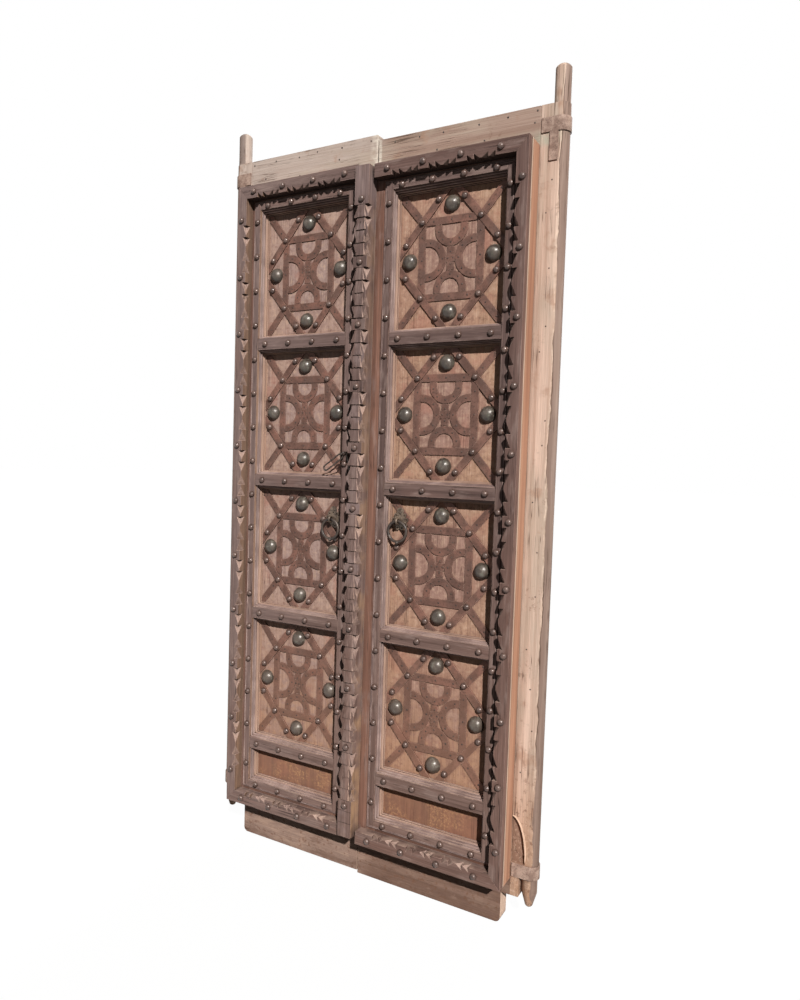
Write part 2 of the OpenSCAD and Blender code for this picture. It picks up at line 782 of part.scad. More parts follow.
eye_r = ring_bar_r + ring_gap + eye_bar_r;
module handle_eye(s) color(handle_colour) at_handle(s, panel_t) {
    rise = ring_d - panel_t;
    translate([0, 0, rise]) rotate([0, 90, 0])
        rotate_extrude() translate([eye_r, 0]) circle(eye_bar_r);
    cylinder(h = rise - ring_bar_r - ring_gap - eye_bar_r / 2, r = eye_stem_r);
}

module handle_ring(s) color(handle_colour) at_handle(s, ring_d) translate([0, ring_bar_r - ring_r, 0]) {
    rotate_extrude() translate([ring_r - ring_bar_r, 0]) rotate(180) circle(ring_bar_r);
    translate([0, ring_bar_r - ring_r - ring_knob_r / 2, 0]) rotate(-90) sphere(ring_knob_r);
}

// Hasp on the left meeting stile: a staple with a bent tail, and a long link on its lower leg
function staple_z() = rail_z(2) + staple_rise;
hasp_d = band_d + staple_leg;
staple_r = staple_hole_r + staple_bar_r;
link_drop = staple_hole_r - hasp_bar_r - link_clear;

module at_staple(d) {
    translate([meeting_band(LEFT), front(d), staple_z()]) children();
}

module hasp_staple() color(stud_colour) {
    at_staple(band_d) rotate([90, hasp_lean, 0]) {
        for (m = [0, 1])
            mirror([0, m, 0]) translate([0, staple_r, 0]) cylinder(h = staple_leg, r = staple_bar_r);
        translate([0, 0, staple_leg]) rotate([90, 0, 90])
            rotate_extrude(angle = 180) translate([staple_r, 0]) circle(staple_bar_r);
    }
    at_staple(band_d + staple_bar_r + seat_clear)
        translate([staple_r * sin(hasp_lean), 0, staple_r * cos(hasp_lean)])
            rotate([0, 180 - tail_lean, 0]) cylinder(h = tail_l, r = staple_bar_r);
}

// An oblong link that hangs from the middle of its upper bar
module oblong(l, w, r) {
    turn = w / 2 - r;
    run = l - w;
    translate([0, 0, -turn]) rotate([90, 0, 0]) {
        rotate_extrude(angle = 180) translate([turn, 0]) circle(r);
        translate([0, -run, 0]) rotate(180) rotate_extrude(angle = 180) translate([turn, 0]) circle(r);
        for (m = [0, 1])
            mirror([m, 0, 0]) translate([turn, 0, 0]) rotate([90, 0, 0]) cylinder(h = run, r = r);
    }
}

module hasp_link() color(stud_colour) at_staple(hasp_d)
    rotate([0, hasp_lean, 0]) translate([0, 0, -link_drop]) oblong(hasp_l, hasp_w, hasp_bar_r);

place(LEFT) pivot_stile(LEFT);  // left_pivot_stile
place(LEFT) back_top_rail(LEFT);  // left_back_top_rail
place(LEFT) back_bottom_rail(LEFT);  // left_back_bottom_rail
place(LEFT) back_planks(LEFT);  // left_back_planks
place(LEFT) back_ledges(LEFT);  // left_back_ledges
place(LEFT) hinge_stile(LEFT);  // left_hinge_stile
place(LEFT) meeting_stile(LEFT);  // left_meeting_stile
place(LEFT) top_rail(LEFT);  // left_top_rail
place(LEFT) cross_rail(LEFT, 1);  // left_cross_rail_1
place(LEFT) cross_rail(LEFT, 2);  // left_cross_rail_2
place(LEFT) cross_rail(LEFT, 3);  // left_cross_rail_3
place(LEFT) cross_rail(LEFT, 4);  // left_cross_rail_4
place(LEFT) bottom_rail(LEFT);  // left_bottom_rail
place(LEFT) carved_stile(LEFT);  // left_carved_stile
place(LEFT) carved_top_rail(LEFT);  // left_carved_top_rail
place(LEFT) carved_bottom_rail(LEFT);  // left_carved_bottom_rail
place(LEFT) panel(LEFT, 1);  // left_panel_1
place(LEFT) panel(LEFT, 2);  // left_panel_2
place(LEFT) panel(LEFT, 3);  // left_panel_3
place(LEFT) panel(LEFT, 4);  // left_panel_4
place(LEFT) sill_panel(LEFT);  // left_sill_panel
place(LEFT) strapwork(LEFT);  // left_strapwork
place(LEFT) bosses(LEFT);  // left_bosses
place(LEFT) studs(LEFT);  // left_studs
place(LEFT) pivot_bands(LEFT);  // left_pivot_bands
place(LEFT) handle_plate(LEFT);  // left_handle_plate
place(LEFT) handle_eye(LEFT);  // left_handle_eye
place(LEFT) handle_ring(LEFT);  // left_handle_ring
place(LEFT) meeting_bead();
place(LEFT) hasp_staple();
place(LEFT) hasp_link();
place(RIGHT) pivot_stile(RIGHT);  // right_pivot_stile
place(RIGHT) back_top_rail(RIGHT);  // right_back_top_rail
place(RIGHT) back_bottom_rail(RIGHT);  // right_back_bottom_rail
place(RIGHT) back_planks(RIGHT);  // right_back_planks
place(RIGHT) back_ledges(RIGHT);  // right_back_ledges
place(RIGHT) hinge_stile(RIGHT);  // right_hinge_stile
place(RIGHT) meeting_stile(RIGHT);  // right_meeting_stile
place(RIGHT) top_rail(RIGHT);  // right_top_rail
place(RIGHT) cross_rail(RIGHT, 1);  // right_cross_rail_1
place(RIGHT) cross_rail(RIGHT, 2);  // right_cross_rail_2
place(RIGHT) cross_rail(RIGHT, 3);  // right_cross_rail_3
place(RIGHT) cross_rail(RIGHT, 4);  // right_cross_rail_4
place(RIGHT) bottom_rail(RIGHT);  // right_bottom_rail
place(RIGHT) carved_stile(RIGHT);  // right_carved_stile
place(RIGHT) carved_top_rail(RIGHT);  // right_carved_top_rail
place(RIGHT) carved_bottom_rail(RIGHT);  // right_carved_bottom_rail
place(RIGHT) panel(RIGHT, 1);  // right_panel_1
place(RIGHT) panel(RIGHT, 2);  // right_panel_2
place(RIGHT) panel(RIGHT, 3);  // right_panel_3
place(RIGHT) panel(RIGHT, 4);  // right_panel_4
place(RIGHT) sill_panel(RIGHT);  // right_sill_panel
place(RIGHT) strapwork(RIGHT);  // right_strapwork
place(RIGHT) bosses(RIGHT);  // right_bosses
place(RIGHT) studs(RIGHT);  // right_studs
place(RIGHT) pivot_bands(RIGHT);  // right_pivot_bands
place(RIGHT) handle_plate(RIGHT);  // right_handle_plate
place(RIGHT) handle_eye(RIGHT);  // right_handle_eye
place(RIGHT) handle_ring(RIGHT);  // right_handle_ring
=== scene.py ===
import math
import random

import bmesh
import bpy
from mathutils import Matrix, Vector


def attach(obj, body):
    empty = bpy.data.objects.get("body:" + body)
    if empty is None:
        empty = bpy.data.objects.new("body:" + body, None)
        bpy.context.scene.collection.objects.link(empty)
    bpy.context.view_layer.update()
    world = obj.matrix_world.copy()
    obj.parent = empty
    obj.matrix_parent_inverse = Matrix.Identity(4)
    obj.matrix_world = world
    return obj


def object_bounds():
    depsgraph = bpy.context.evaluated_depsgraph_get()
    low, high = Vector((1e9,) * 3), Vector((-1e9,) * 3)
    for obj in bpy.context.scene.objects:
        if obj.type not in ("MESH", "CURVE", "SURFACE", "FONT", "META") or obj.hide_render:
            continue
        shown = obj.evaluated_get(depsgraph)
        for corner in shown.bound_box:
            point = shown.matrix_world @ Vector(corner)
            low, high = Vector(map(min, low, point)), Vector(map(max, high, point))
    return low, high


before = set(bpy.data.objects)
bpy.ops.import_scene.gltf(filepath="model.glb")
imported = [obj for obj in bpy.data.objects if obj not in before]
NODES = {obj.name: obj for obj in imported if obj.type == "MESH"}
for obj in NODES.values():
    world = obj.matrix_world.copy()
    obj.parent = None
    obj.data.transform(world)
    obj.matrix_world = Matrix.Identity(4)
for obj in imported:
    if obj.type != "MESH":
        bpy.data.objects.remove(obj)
cad_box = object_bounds()
SIDES = ("left", "right")

# Sizes of the part in metres, as in its source
MM = 0.001
BACK_Y = -22 * MM
SPAN = 1012 * MM
FOOT_Z = {"left": -117 * MM, "right": -124 * MM}
OPEN_U = {"left": (127 * MM, 439 * MM), "right": (108 * MM, 432 * MM)}
BAND_U = {"left": (117 * MM, 449 * MM), "right": (98 * MM, 442 * MM)}
LEAF_H = {"left": 2099 * MM, "right": 2090 * MM}
BAND_Z = (190 * MM, 1936 * MM)
FRAME_TOP = 1994 * MM
ROW_PITCH = 404.5 * MM
RAIL_HALF = 17 * MM
BAND_HALF = 10 * MM
BEVEL_W = 12 * MM
BEVEL_STEP = 3 * MM
PANEL_D = 20 * MM
GROUND_D = 45 * MM
FILLET_D = 48.5 * MM
BAND_D = 52 * MM
STRAP_W = 20 * MM
INLAY_T = 3 * MM
STRAP_GAP = 0.8 * MM
DIAMOND = 1.12
ARCH = 0.28
ROWS = (1, 2, 3, 4, 5)
SILL_ROW = 5
PANELS = ROWS[:4]
FIRST_STUD = 110.5 * MM
STUD_PITCH = 166.8 * MM
RING = {"left": (397.76 * MM, 906.5 * MM), "right": (618.24 * MM, 915.5 * MM)}
GOUGE_U = (9 * MM, 46 * MM)
GOUGE_Z = (173 * MM, 295 * MM)


def front_y(depth):
    return BACK_Y - depth


def leaf_x(side, u):
    return u if side == "left" else SPAN - u


def leaf_z(side, z):
    return z + FOOT_Z[side]


def rail_z(k):
    return BAND_Z[1] - ROW_PITCH * k


def opening_z(k):
    """Lower and upper edge of the opening of a row; the last row is the sill."""
    top = rail_z(k - 1) - (BAND_HALF if k == 1 else RAIL_HALF)
    bottom = BAND_Z[0] + BAND_HALF if k == SILL_ROW else rail_z(k) + RAIL_HALF
    return bottom, top


def panel_box(side, k):
    lo, hi = OPEN_U[side]
    bottom, top = opening_z(k)
    return lo + BEVEL_W, hi - BEVEL_W, bottom + BEVEL_W, top - BEVEL_W


# Colours are written as they look, on a scale of 255
def colour(r, g, b):
    def linear(c):
        c = c / 255
        return c / 12.92 if c <= 0.04045 else ((c + 0.055) / 1.055) ** 2.4
    return (linear(r), linear(g), linear(b), 1.0)


class Nodes:
    """Adds nodes to a material's or the world's tree; an input is a number, a colour or an output."""

    def __init__(self, owner):
        owner.use_nodes = True
        self.owner = owner
        self.tree = owner.node_tree
        self.tree.nodes.clear()

    def add(self, kind, inputs, **settings):
        node = self.tree.nodes.new(kind)
        for key, value in settings.items():
            setattr(node, key, value)
        for key, value in inputs.items():
            self.put(node.inputs[key], value)
        return node

    def put(self, socket, value):
        if isinstance(value, bpy.types.NodeSocket):
            self.tree.links.new(value, socket)
        elif value is not None:
            socket.default_value = value

    def math(self, operation, a, b=None):
        return self.add("ShaderNodeMath", {0: a, 1: b}, operation=operation).outputs[0]

    def both(self, a, *others):
        """Product of masks and shares."""
        for b in others:
            a = self.math("MULTIPLY", a, b)
        return a

    def either(self, a, *others):
        """Largest of several masks."""
        for b in others:
            a = self.math("MAXIMUM", a, b)
        return a

    def off(self, value, middle):
        """Distance from a middle value."""
        return self.math("ABSOLUTE", self.math("SUBTRACT", value, middle))

    def mix(self, factor, a, b):
        node = self.add("ShaderNodeMix", {0: factor, 6: a, 7: b}, data_type="RGBA")
        return node.outputs[2]

    def tint(self, base, tone, share, *masks):
        """Lays a tone over a base by a share, inside the masks."""
        return self.mix(self.both(share, *masks) if masks else share, base, tone)

    def ramp(self, value, low, high):
        """0 at low, 1 at high, smooth between."""
        node = self.add(
            "ShaderNodeMapRange", {0: value, 1: low, 2: high, 3: 0.0, 4: 1.0},
            interpolation_type="SMOOTHSTEP",
        )
        return node.outputs[0]

    def deep(self, y, start, end):
        """0 at the depth start, 1 at the depth end, both counted forward from the back plane."""
        return self.ramp(y, front_y(start), front_y(end))

    def span(self, value, low, high, a, b):
        """a at low, b at high, straight between."""
        return self.add("ShaderNodeMapRange", {0: value, 1: low, 2: high, 3: a, 4: b}).outputs[0]

    def coords(self):
        return self.add("ShaderNodeTexCoord", {}).outputs["Object"]

    def normal(self):
        return self.add("ShaderNodeTexCoord", {}).outputs["Normal"]

    def split(self, vector):
        return self.add("ShaderNodeSeparateXYZ", {0: vector}).outputs

    def scaled(self, vector, scale, offset=(0, 0, 0)):
        node = self.add("ShaderNodeMapping", {"Vector": vector, "Location": offset, "Scale": scale})
        return node.outputs[0]

    def noise(self, vector, scale=1.0, detail=3.0, rough=0.55, warp=0.0):
        node = self.add("ShaderNodeTexNoise", {
            "Vector": vector, "Scale": scale, "Detail": detail, "Roughness": rough, "Distortion": warp,
        })
        return node.outputs[0]

    def edge(self, radius):
        """1 on outer edges and in corners, 0 on flats: the mask for rubbed wear and painted edge
        highlights.
        """
        soft = self.add("ShaderNodeBevel", {"Radius": radius}, samples=4).outputs[0]
        true = self.add("ShaderNodeNewGeometry", {}).outputs["True Normal"]
        dot = self.add("ShaderNodeVectorMath", {0: soft, 1: true}, operation="DOT_PRODUCT")
        return self.ramp(dot.outputs["Value"], 0.985, 0.80)

    def crevice(self, distance):
        """0 in the open, towards 1 in crevices: the mask for painted shade."""
        node = self.add("ShaderNodeAmbientOcclusion", {"Distance": distance}, samples=6)
        return self.span(node.outputs["AO"], 0.3, 0.95, 1.0, 0.0)

    def finish(self, base, rough, bump=None, strength=0.3, distance=1 * MM, **shader):
        inputs = {"Base Color": base, "Roughness": rough}
        inputs.update(shader)
        if bump is not None:
            inputs["Normal"] = self.add(
                "ShaderNodeBump", {"Strength": strength, "Distance": distance, "Height": bump}
            ).outputs[0]
        surface = self.add("ShaderNodeBsdfPrincipled", inputs)
        self.add("ShaderNodeOutputMaterial", {"Surface": surface.outputs[0]})
        return self.owner


X_AXIS = 0
Z_AXIS = 2
MATT = {"Specular IOR Level": 0.12}

# Places where a tone starts and where it is full, in metres: first across the door, then up it
LEFTWARD = (0.52, 0.02)
LEFT_LEAF = (0.56, 0.44)
RIGHT_LEAF = (0.52, 0.6)
RIGHT_FOOT = (0.50, 0.56)
LEFT_SIDE = (0.0610, 0.0604)
RIGHT_SIDE = (0.9650, 0.9656)
LEFT_STILE = (0.3, 0.2)
LEFT_PIN = (0.2, 0.1)
CORNER_LEFT = (0.468, 0.488)
CORNER_RIGHT = (0.512, 0.507)
SCOOP_LEFT = (0.960, 0.964)
SCOOP_RIGHT = (1.006, 1.003)
FOOT_END = (0.955, 0.95)
RIDGE_X = 1.0200
RIDGE_BACK = (16 * MM, 8 * MM)
FRAME_LOW = (1.3, 0.1)
BEAD_TOP = (1.74, 1.8)
BEAD_CUTS = (1.79, 1.77)
PANEL_LOW = (0.72, 0.12)
SILL_TOP = (0.215, 0.19)
DUST_LOW = (1.860, 1.876)
DUST_HIGH = (1.915, 1.885)
CORNER_LOW = (1.87, 1.9)
PIN_LOW = (1.978, 1.986)
PALE_LOW = (0.26, 0.02)
WARM_LOW = (0.42, 0.06)
SPOTS_LOW = (0.5, 0.1)
SPECKS_LOW = (0.3, 0.1)
SCOOP_TOP = (0.185, 0.178)
SCOOP_FOOT = (0.04, 0.048)
FOOT_END_TOP = (0.06, 0.03)
RIDGE_FOOT = (0.12, 0.3)
STRAP_LOW = (0.7, 0.1)
BOSS_LOW = (0.9, 0.2)
CUTS_FROM_MIDDLE = (34.2 * MM, 68.4 * MM)


def along(axis, across, lengthwise):
    """Texture scale for a grain that runs along an axis."""
    return tuple(lengthwise if i == axis else across for i in range(3))


def grain(n, point, axis):
    """Fine fibres, broad streaks and open cracks of old wood, each about 0 to 1."""
    fine = n.noise(n.scaled(point, along(axis, 420, 9)), detail=4, rough=0.6)
    broad = n.ramp(n.noise(n.scaled(point, along(axis, 60, 1.6)), detail=3, warp=0.4), 0.3, 0.7)
    lines = n.noise(n.scaled(point, along(axis, 130, 2.2), (3, 5, 7)), detail=2)
    crack = n.ramp(n.off(lines, 0.5), 0.022, 0.0)
    patch = n.ramp(n.noise(point, 9, 3), 0.46, 0.62)
    return fine, broad, n.both(crack, patch)


def carving_lines(n, point, z):
    """Cuts across the bead where its chips end, between each two studs."""
    shake = n.span(n.noise(point, 38, 2), 0.3, 0.7, -0.9 * MM, 0.9 * MM)
    phase = n.math("FLOORED_MODULO", n.math("SUBTRACT", n.math("ADD", z, shake), FIRST_STUD), STUD_PITCH)
    from_middle = n.off(phase, STUD_PITCH / 2)
    lines = [n.ramp(n.off(from_middle, place), 1.1 * MM, 0.3 * MM) for place in CUTS_FROM_MIDDLE]
    return n.either(*lines)


def frame_wood(name, axis, bead=False):
    """Dark weathered hardwood: grey-brown faces, red-brown ground, tan walls and orange outer sides."""
    n = Nodes(bpy.data.materials.new(name))
    point = n.coords()
    x, y, z = n.split(point)
    nx, ny, nz = n.split(n.normal())
    fine, broad, crack = grain(n, point, axis)
    low = n.ramp(z, *FRAME_LOW)
    left = n.ramp(x, *LEFTWARD)
    base = n.mix(broad, colour(98, 79, 75), colour(134, 111, 105))
    base = n.tint(base, n.mix(broad, colour(116, 90, 80), colour(152, 123, 112)), 0.65, low)
    base = n.tint(base, colour(154, 133, 128), 0.5, left)
    if bead:
        pale = n.either(n.ramp(n.noise(point, 14, 3), 0.5, 0.7), n.ramp(z, *BEAD_TOP))
        base = n.tint(base, colour(160, 139, 136), 0.6, pale)
    carved = n.both(n.deep(y, 58 * MM, 62 * MM), n.ramp(x, *RIGHT_LEAF))
    base = n.tint(base, colour(112, 82, 73), 0.4, carved)
    flush = n.ramp(n.math("ABSOLUTE", ny), 0.5, 0.8)
    sunk = n.both(flush, n.deep(y, 47 * MM, 46 * MM))
    red = n.mix(broad, colour(124, 86, 71), colour(164, 120, 101))
    base = n.tint(base, red, 0.8, sunk)
    stain = n.ramp(n.noise(n.scaled(point, along(axis, 14, 2.5)), detail=2), 0.52, 0.68)
    base = n.tint(base, colour(134, 99, 87), 0.32, stain)
    dusty = n.noise(n.scaled(point, along(axis, 40, 9), (5, 1, 3)), detail=5, rough=0.65)
    dusty = n.ramp(dusty, 0.5, 0.66)
    base = n.tint(base, colour(166, 144, 136), 0.45, dusty)
    upright = n.ramp(n.math("ABSOLUTE", ny), 0.5, 0.35)
    wall = n.both(n.deep(y, 49.4 * MM, 48.8 * MM), upright)
    deep = n.deep(y, 42 * MM, 22 * MM)
    calm = n.ramp(n.noise(point, 9, 2), 0.35, 0.65)
    tan = n.mix(deep, n.mix(calm, colour(140, 122, 117), colour(164, 144, 137)), colour(204, 166, 139))
    ledge = n.mix(calm, colour(146, 121, 113), colour(180, 152, 143))
    tan = n.mix(n.ramp(n.math("ABSOLUTE", nz), 0.5, 0.8), tan, ledge)
    base = n.tint(base, tan, 0.85, wall)
    side = n.ramp(n.math("ABSOLUTE", nx), 0.85, 0.95)
    outer = n.both(side, n.either(n.ramp(x, *RIGHT_SIDE), n.ramp(x, *LEFT_SIDE)))
    back_side = n.mix(broad, colour(164, 118, 95), colour(196, 150, 124))
    carved_side = n.mix(broad, colour(126, 96, 86), colour(158, 126, 114))
    is_back = n.deep(y, 52.6 * MM, 51.6 * MM)
    base = n.mix(outer, base, n.mix(is_back, carved_side, back_side))
    # Painted highlight: a near-white line along the outer sides, where the carved frame meets the back,
    # stands for the lit corner
    bright = n.ramp(n.off(y, front_y(51.0 * MM)), 4.2 * MM, 1.2 * MM)
    base = n.tint(base, colour(252, 226, 202), 0.85, outer, bright)
    raised = n.deep(y, 44.5 * MM, 46 * MM)
    inner = n.both(n.ramp(nx, 0.6, 0.9), n.ramp(x, *LEFT_STILE), raised)
    base = n.tint(base, n.mix(broad, colour(132, 102, 82), colour(172, 138, 112)), 0.75, inner)
    if bead:
        # Painted highlight: the bead's faces turned to the right, towards the light, are painted light
        # tan, most towards the foot
        painted_sunlit_side = n.both(n.ramp(nx, 0.3, 0.7), n.ramp(n.noise(point, 12, 3), 0.35, 0.6))
        base = n.tint(base, colour(204, 164, 128), 0.75, painted_sunlit_side, n.span(z, 0.1, 1.4, 1.0, 0.35))
    # Painted highlight: tilted chip facets on the carved parts are painted lighter tan, as lit facets
    square = n.either(n.math("ABSOLUTE", nx), n.math("ABSOLUTE", ny), n.math("ABSOLUTE", nz))
    facet_highlight = n.both(n.ramp(square, 0.96, 0.86), n.deep(y, 53 * MM, 55 * MM))
    base = n.tint(base, colour(196, 166, 154), 0.6, facet_highlight, n.ramp(n.noise(point, 24, 3), 0.3, 0.55))
    open_face = n.math("SUBTRACT", 1.0, wall)
    crack = n.both(crack, open_face)
    base = n.tint(base, colour(62, 47, 43), n.span(fine, 0.32, 0.68, 0.5, 0.0), open_face)
    # Lighter outer edges: rubbed wear, partly a painted edge highlight
    wear_and_edge_highlight = n.both(n.edge(2.2 * MM), n.ramp(n.noise(point, 55, 3), 0.36, 0.58))
    base = n.tint(base, colour(182, 152, 138), 0.6, wear_and_edge_highlight)
    dust = n.both(n.ramp(nz, 0.2, 0.7), n.ramp(n.noise(point, 30, 4), 0.35, 0.65))
    base = n.tint(base, colour(192, 164, 148), 0.5, dust)
    base = n.tint(base, colour(40, 30, 27), 0.75, crack)
    # Painted shade: faces turned downwards are darkened
    base = n.tint(base, colour(52, 39, 34), 0.75, n.ramp(nz, -0.3, -0.7))
    height = n.both(n.math("SUBTRACT", n.math("ADD", fine, n.both(broad, 0.4)), crack), open_face)
    if bead:
        # Painted shade: the cuts across the bead are painted dark, as the shade inside them, and pressed
        # in by the bump
        lines = n.both(carving_lines(n, point, z), n.ramp(ny, -0.6, -0.8), n.ramp(z, *BEAD_CUTS))
        base = n.tint(base, colour(46, 35, 32), 0.8, lines)
        height = n.math("SUBTRACT", height, n.both(lines, 1.5))
    # Painted shade: crevices and recesses darkened
    base = n.tint(base, colour(46, 35, 31), 0.5, n.crevice(18 * MM))
    rough = n.span(fine, 0.3, 0.7, 0.5, 0.72)
    return n.finish(base, rough, height, strength=0.45, distance=1.5 * MM, **MATT)


def plain_wood(name, dark, light, inner):
    """Rubbed wood without open grain: blotches, another tone towards the panel, painted shade in the
    seams.
    """
    n = Nodes(bpy.data.materials.new(name))
    point = n.coords()
    y = n.split(point)[1]
    patch = n.noise(point, 18, 3)
    base = n.mix(n.ramp(patch, 0.35, 0.65), dark, light)
    base = n.tint(base, inner, 0.6, n.deep(y, 40 * MM, 25 * MM))
    # Painted shade: seams and crevices darkened
    base = n.tint(base, colour(70, 54, 48), 0.3, n.crevice(4 * MM))
    return n.finish(base, n.span(patch, 0.3, 0.7, 0.5, 0.7), **MATT)


def panel_wood(name, side):
    """Tan boards: pink-grey inside the strap square, yellower corners, dusty orange towards the foot."""
    n = Nodes(bpy.data.materials.new(name))
    point = n.coords()
    x, _, z = n.split(point)
    fine, broad, crack = grain(n, point, Z_AXIS)
    lo, hi = OPEN_U[side]
    middle = leaf_x(side, (lo + hi) / 2)
    half = (hi - lo) / 2 - BEVEL_W
    row_half = ROW_PITCH / 2 - RAIL_HALF - BEVEL_W
    from_rail = n.math("FLOORED_MODULO", n.math("SUBTRACT", z, leaf_z(side, rail_z(4))), ROW_PITCH)
    out_x = n.math("DIVIDE", n.off(x, middle), half * DIAMOND / 2)
    out_z = n.math("DIVIDE", n.off(from_rail, ROW_PITCH / 2), row_half * DIAMOND / 2)
    inner = n.ramp(n.either(out_x, out_z), 1.08, 0.92)
    corner = n.ramp(n.math("ADD", out_x, out_z), 1.9, 2.5)
    base = n.mix(broad, colour(152, 115, 98), colour(188, 149, 128))
    base = n.tint(base, n.mix(broad, colour(152, 120, 110), colour(182, 150, 139)), 0.75, inner)
    base = n.tint(base, colour(206, 165, 131), 0.6, corner)
    pink = n.ramp(n.noise(point, 7, 3), 0.42, 0.6)
    base = n.tint(base, colour(176, 132, 118), 0.4, pink)
    if side == "left":
        base = n.tint(base, colour(178, 158, 155), 0.55)
    blotch = n.noise(point, 70, 6, 0.72)
    base = n.tint(base, colour(212, 178, 154), 0.65, n.ramp(blotch, 0.5, 0.62))
    base = n.tint(base, colour(124, 90, 76), 0.6, n.ramp(blotch, 0.48, 0.38))
    salmon = n.noise(n.scaled(point, (9, 9, 9), (1, 2, 4)), detail=4, rough=0.65)
    salmon = n.ramp(salmon, 0.54, 0.66)
    base = n.tint(base, colour(182, 118, 100), 0.45, salmon)
    low = n.ramp(z, *PANEL_LOW)
    mottle = n.ramp(n.noise(point, 34, 5, 0.7), 0.44, 0.56)
    low_tone = colour(150, 100, 76) if side == "right" else colour(164, 122, 102)
    base = n.tint(base, low_tone, 0.6, low)
    sill = n.ramp(z, *SILL_TOP)
    base = n.tint(base, colour(206, 160, 124), 0.6, low, mottle)
    base = n.tint(base, n.mix(broad, colour(104, 62, 42), colour(138, 86, 58)), 0.85, sill)
    gold = n.ramp(n.noise(point, 140, 6, 0.8), 0.46, 0.62)
    gold = n.both(gold, n.ramp(n.noise(point, 16, 4), 0.4, 0.58))
    base = n.tint(base, colour(208, 156, 104), 0.75, sill, gold)
    base = n.tint(base, colour(170, 108, 84), 0.3, sill, salmon)
    base = n.tint(base, colour(116, 74, 56), 0.6, low, n.ramp(n.noise(point, 55, 5, 0.7), 0.56, 0.7))
    base = n.tint(base, colour(168, 144, 134), 0.2)
    base = n.tint(base, colour(118, 84, 68), n.span(fine, 0.32, 0.68, 0.42, 0.0))
    base = n.tint(base, colour(84, 58, 46), 0.7, crack)
    # Painted shade: crevices and corners of the panel darkened
    base = n.tint(base, colour(96, 66, 53), 0.45, n.crevice(22 * MM))
    height = n.math("SUBTRACT", n.math("ADD", fine, broad), crack)
    return n.finish(base, n.span(fine, 0.3, 0.7, 0.62, 0.82), height, strength=0.35, **MATT)


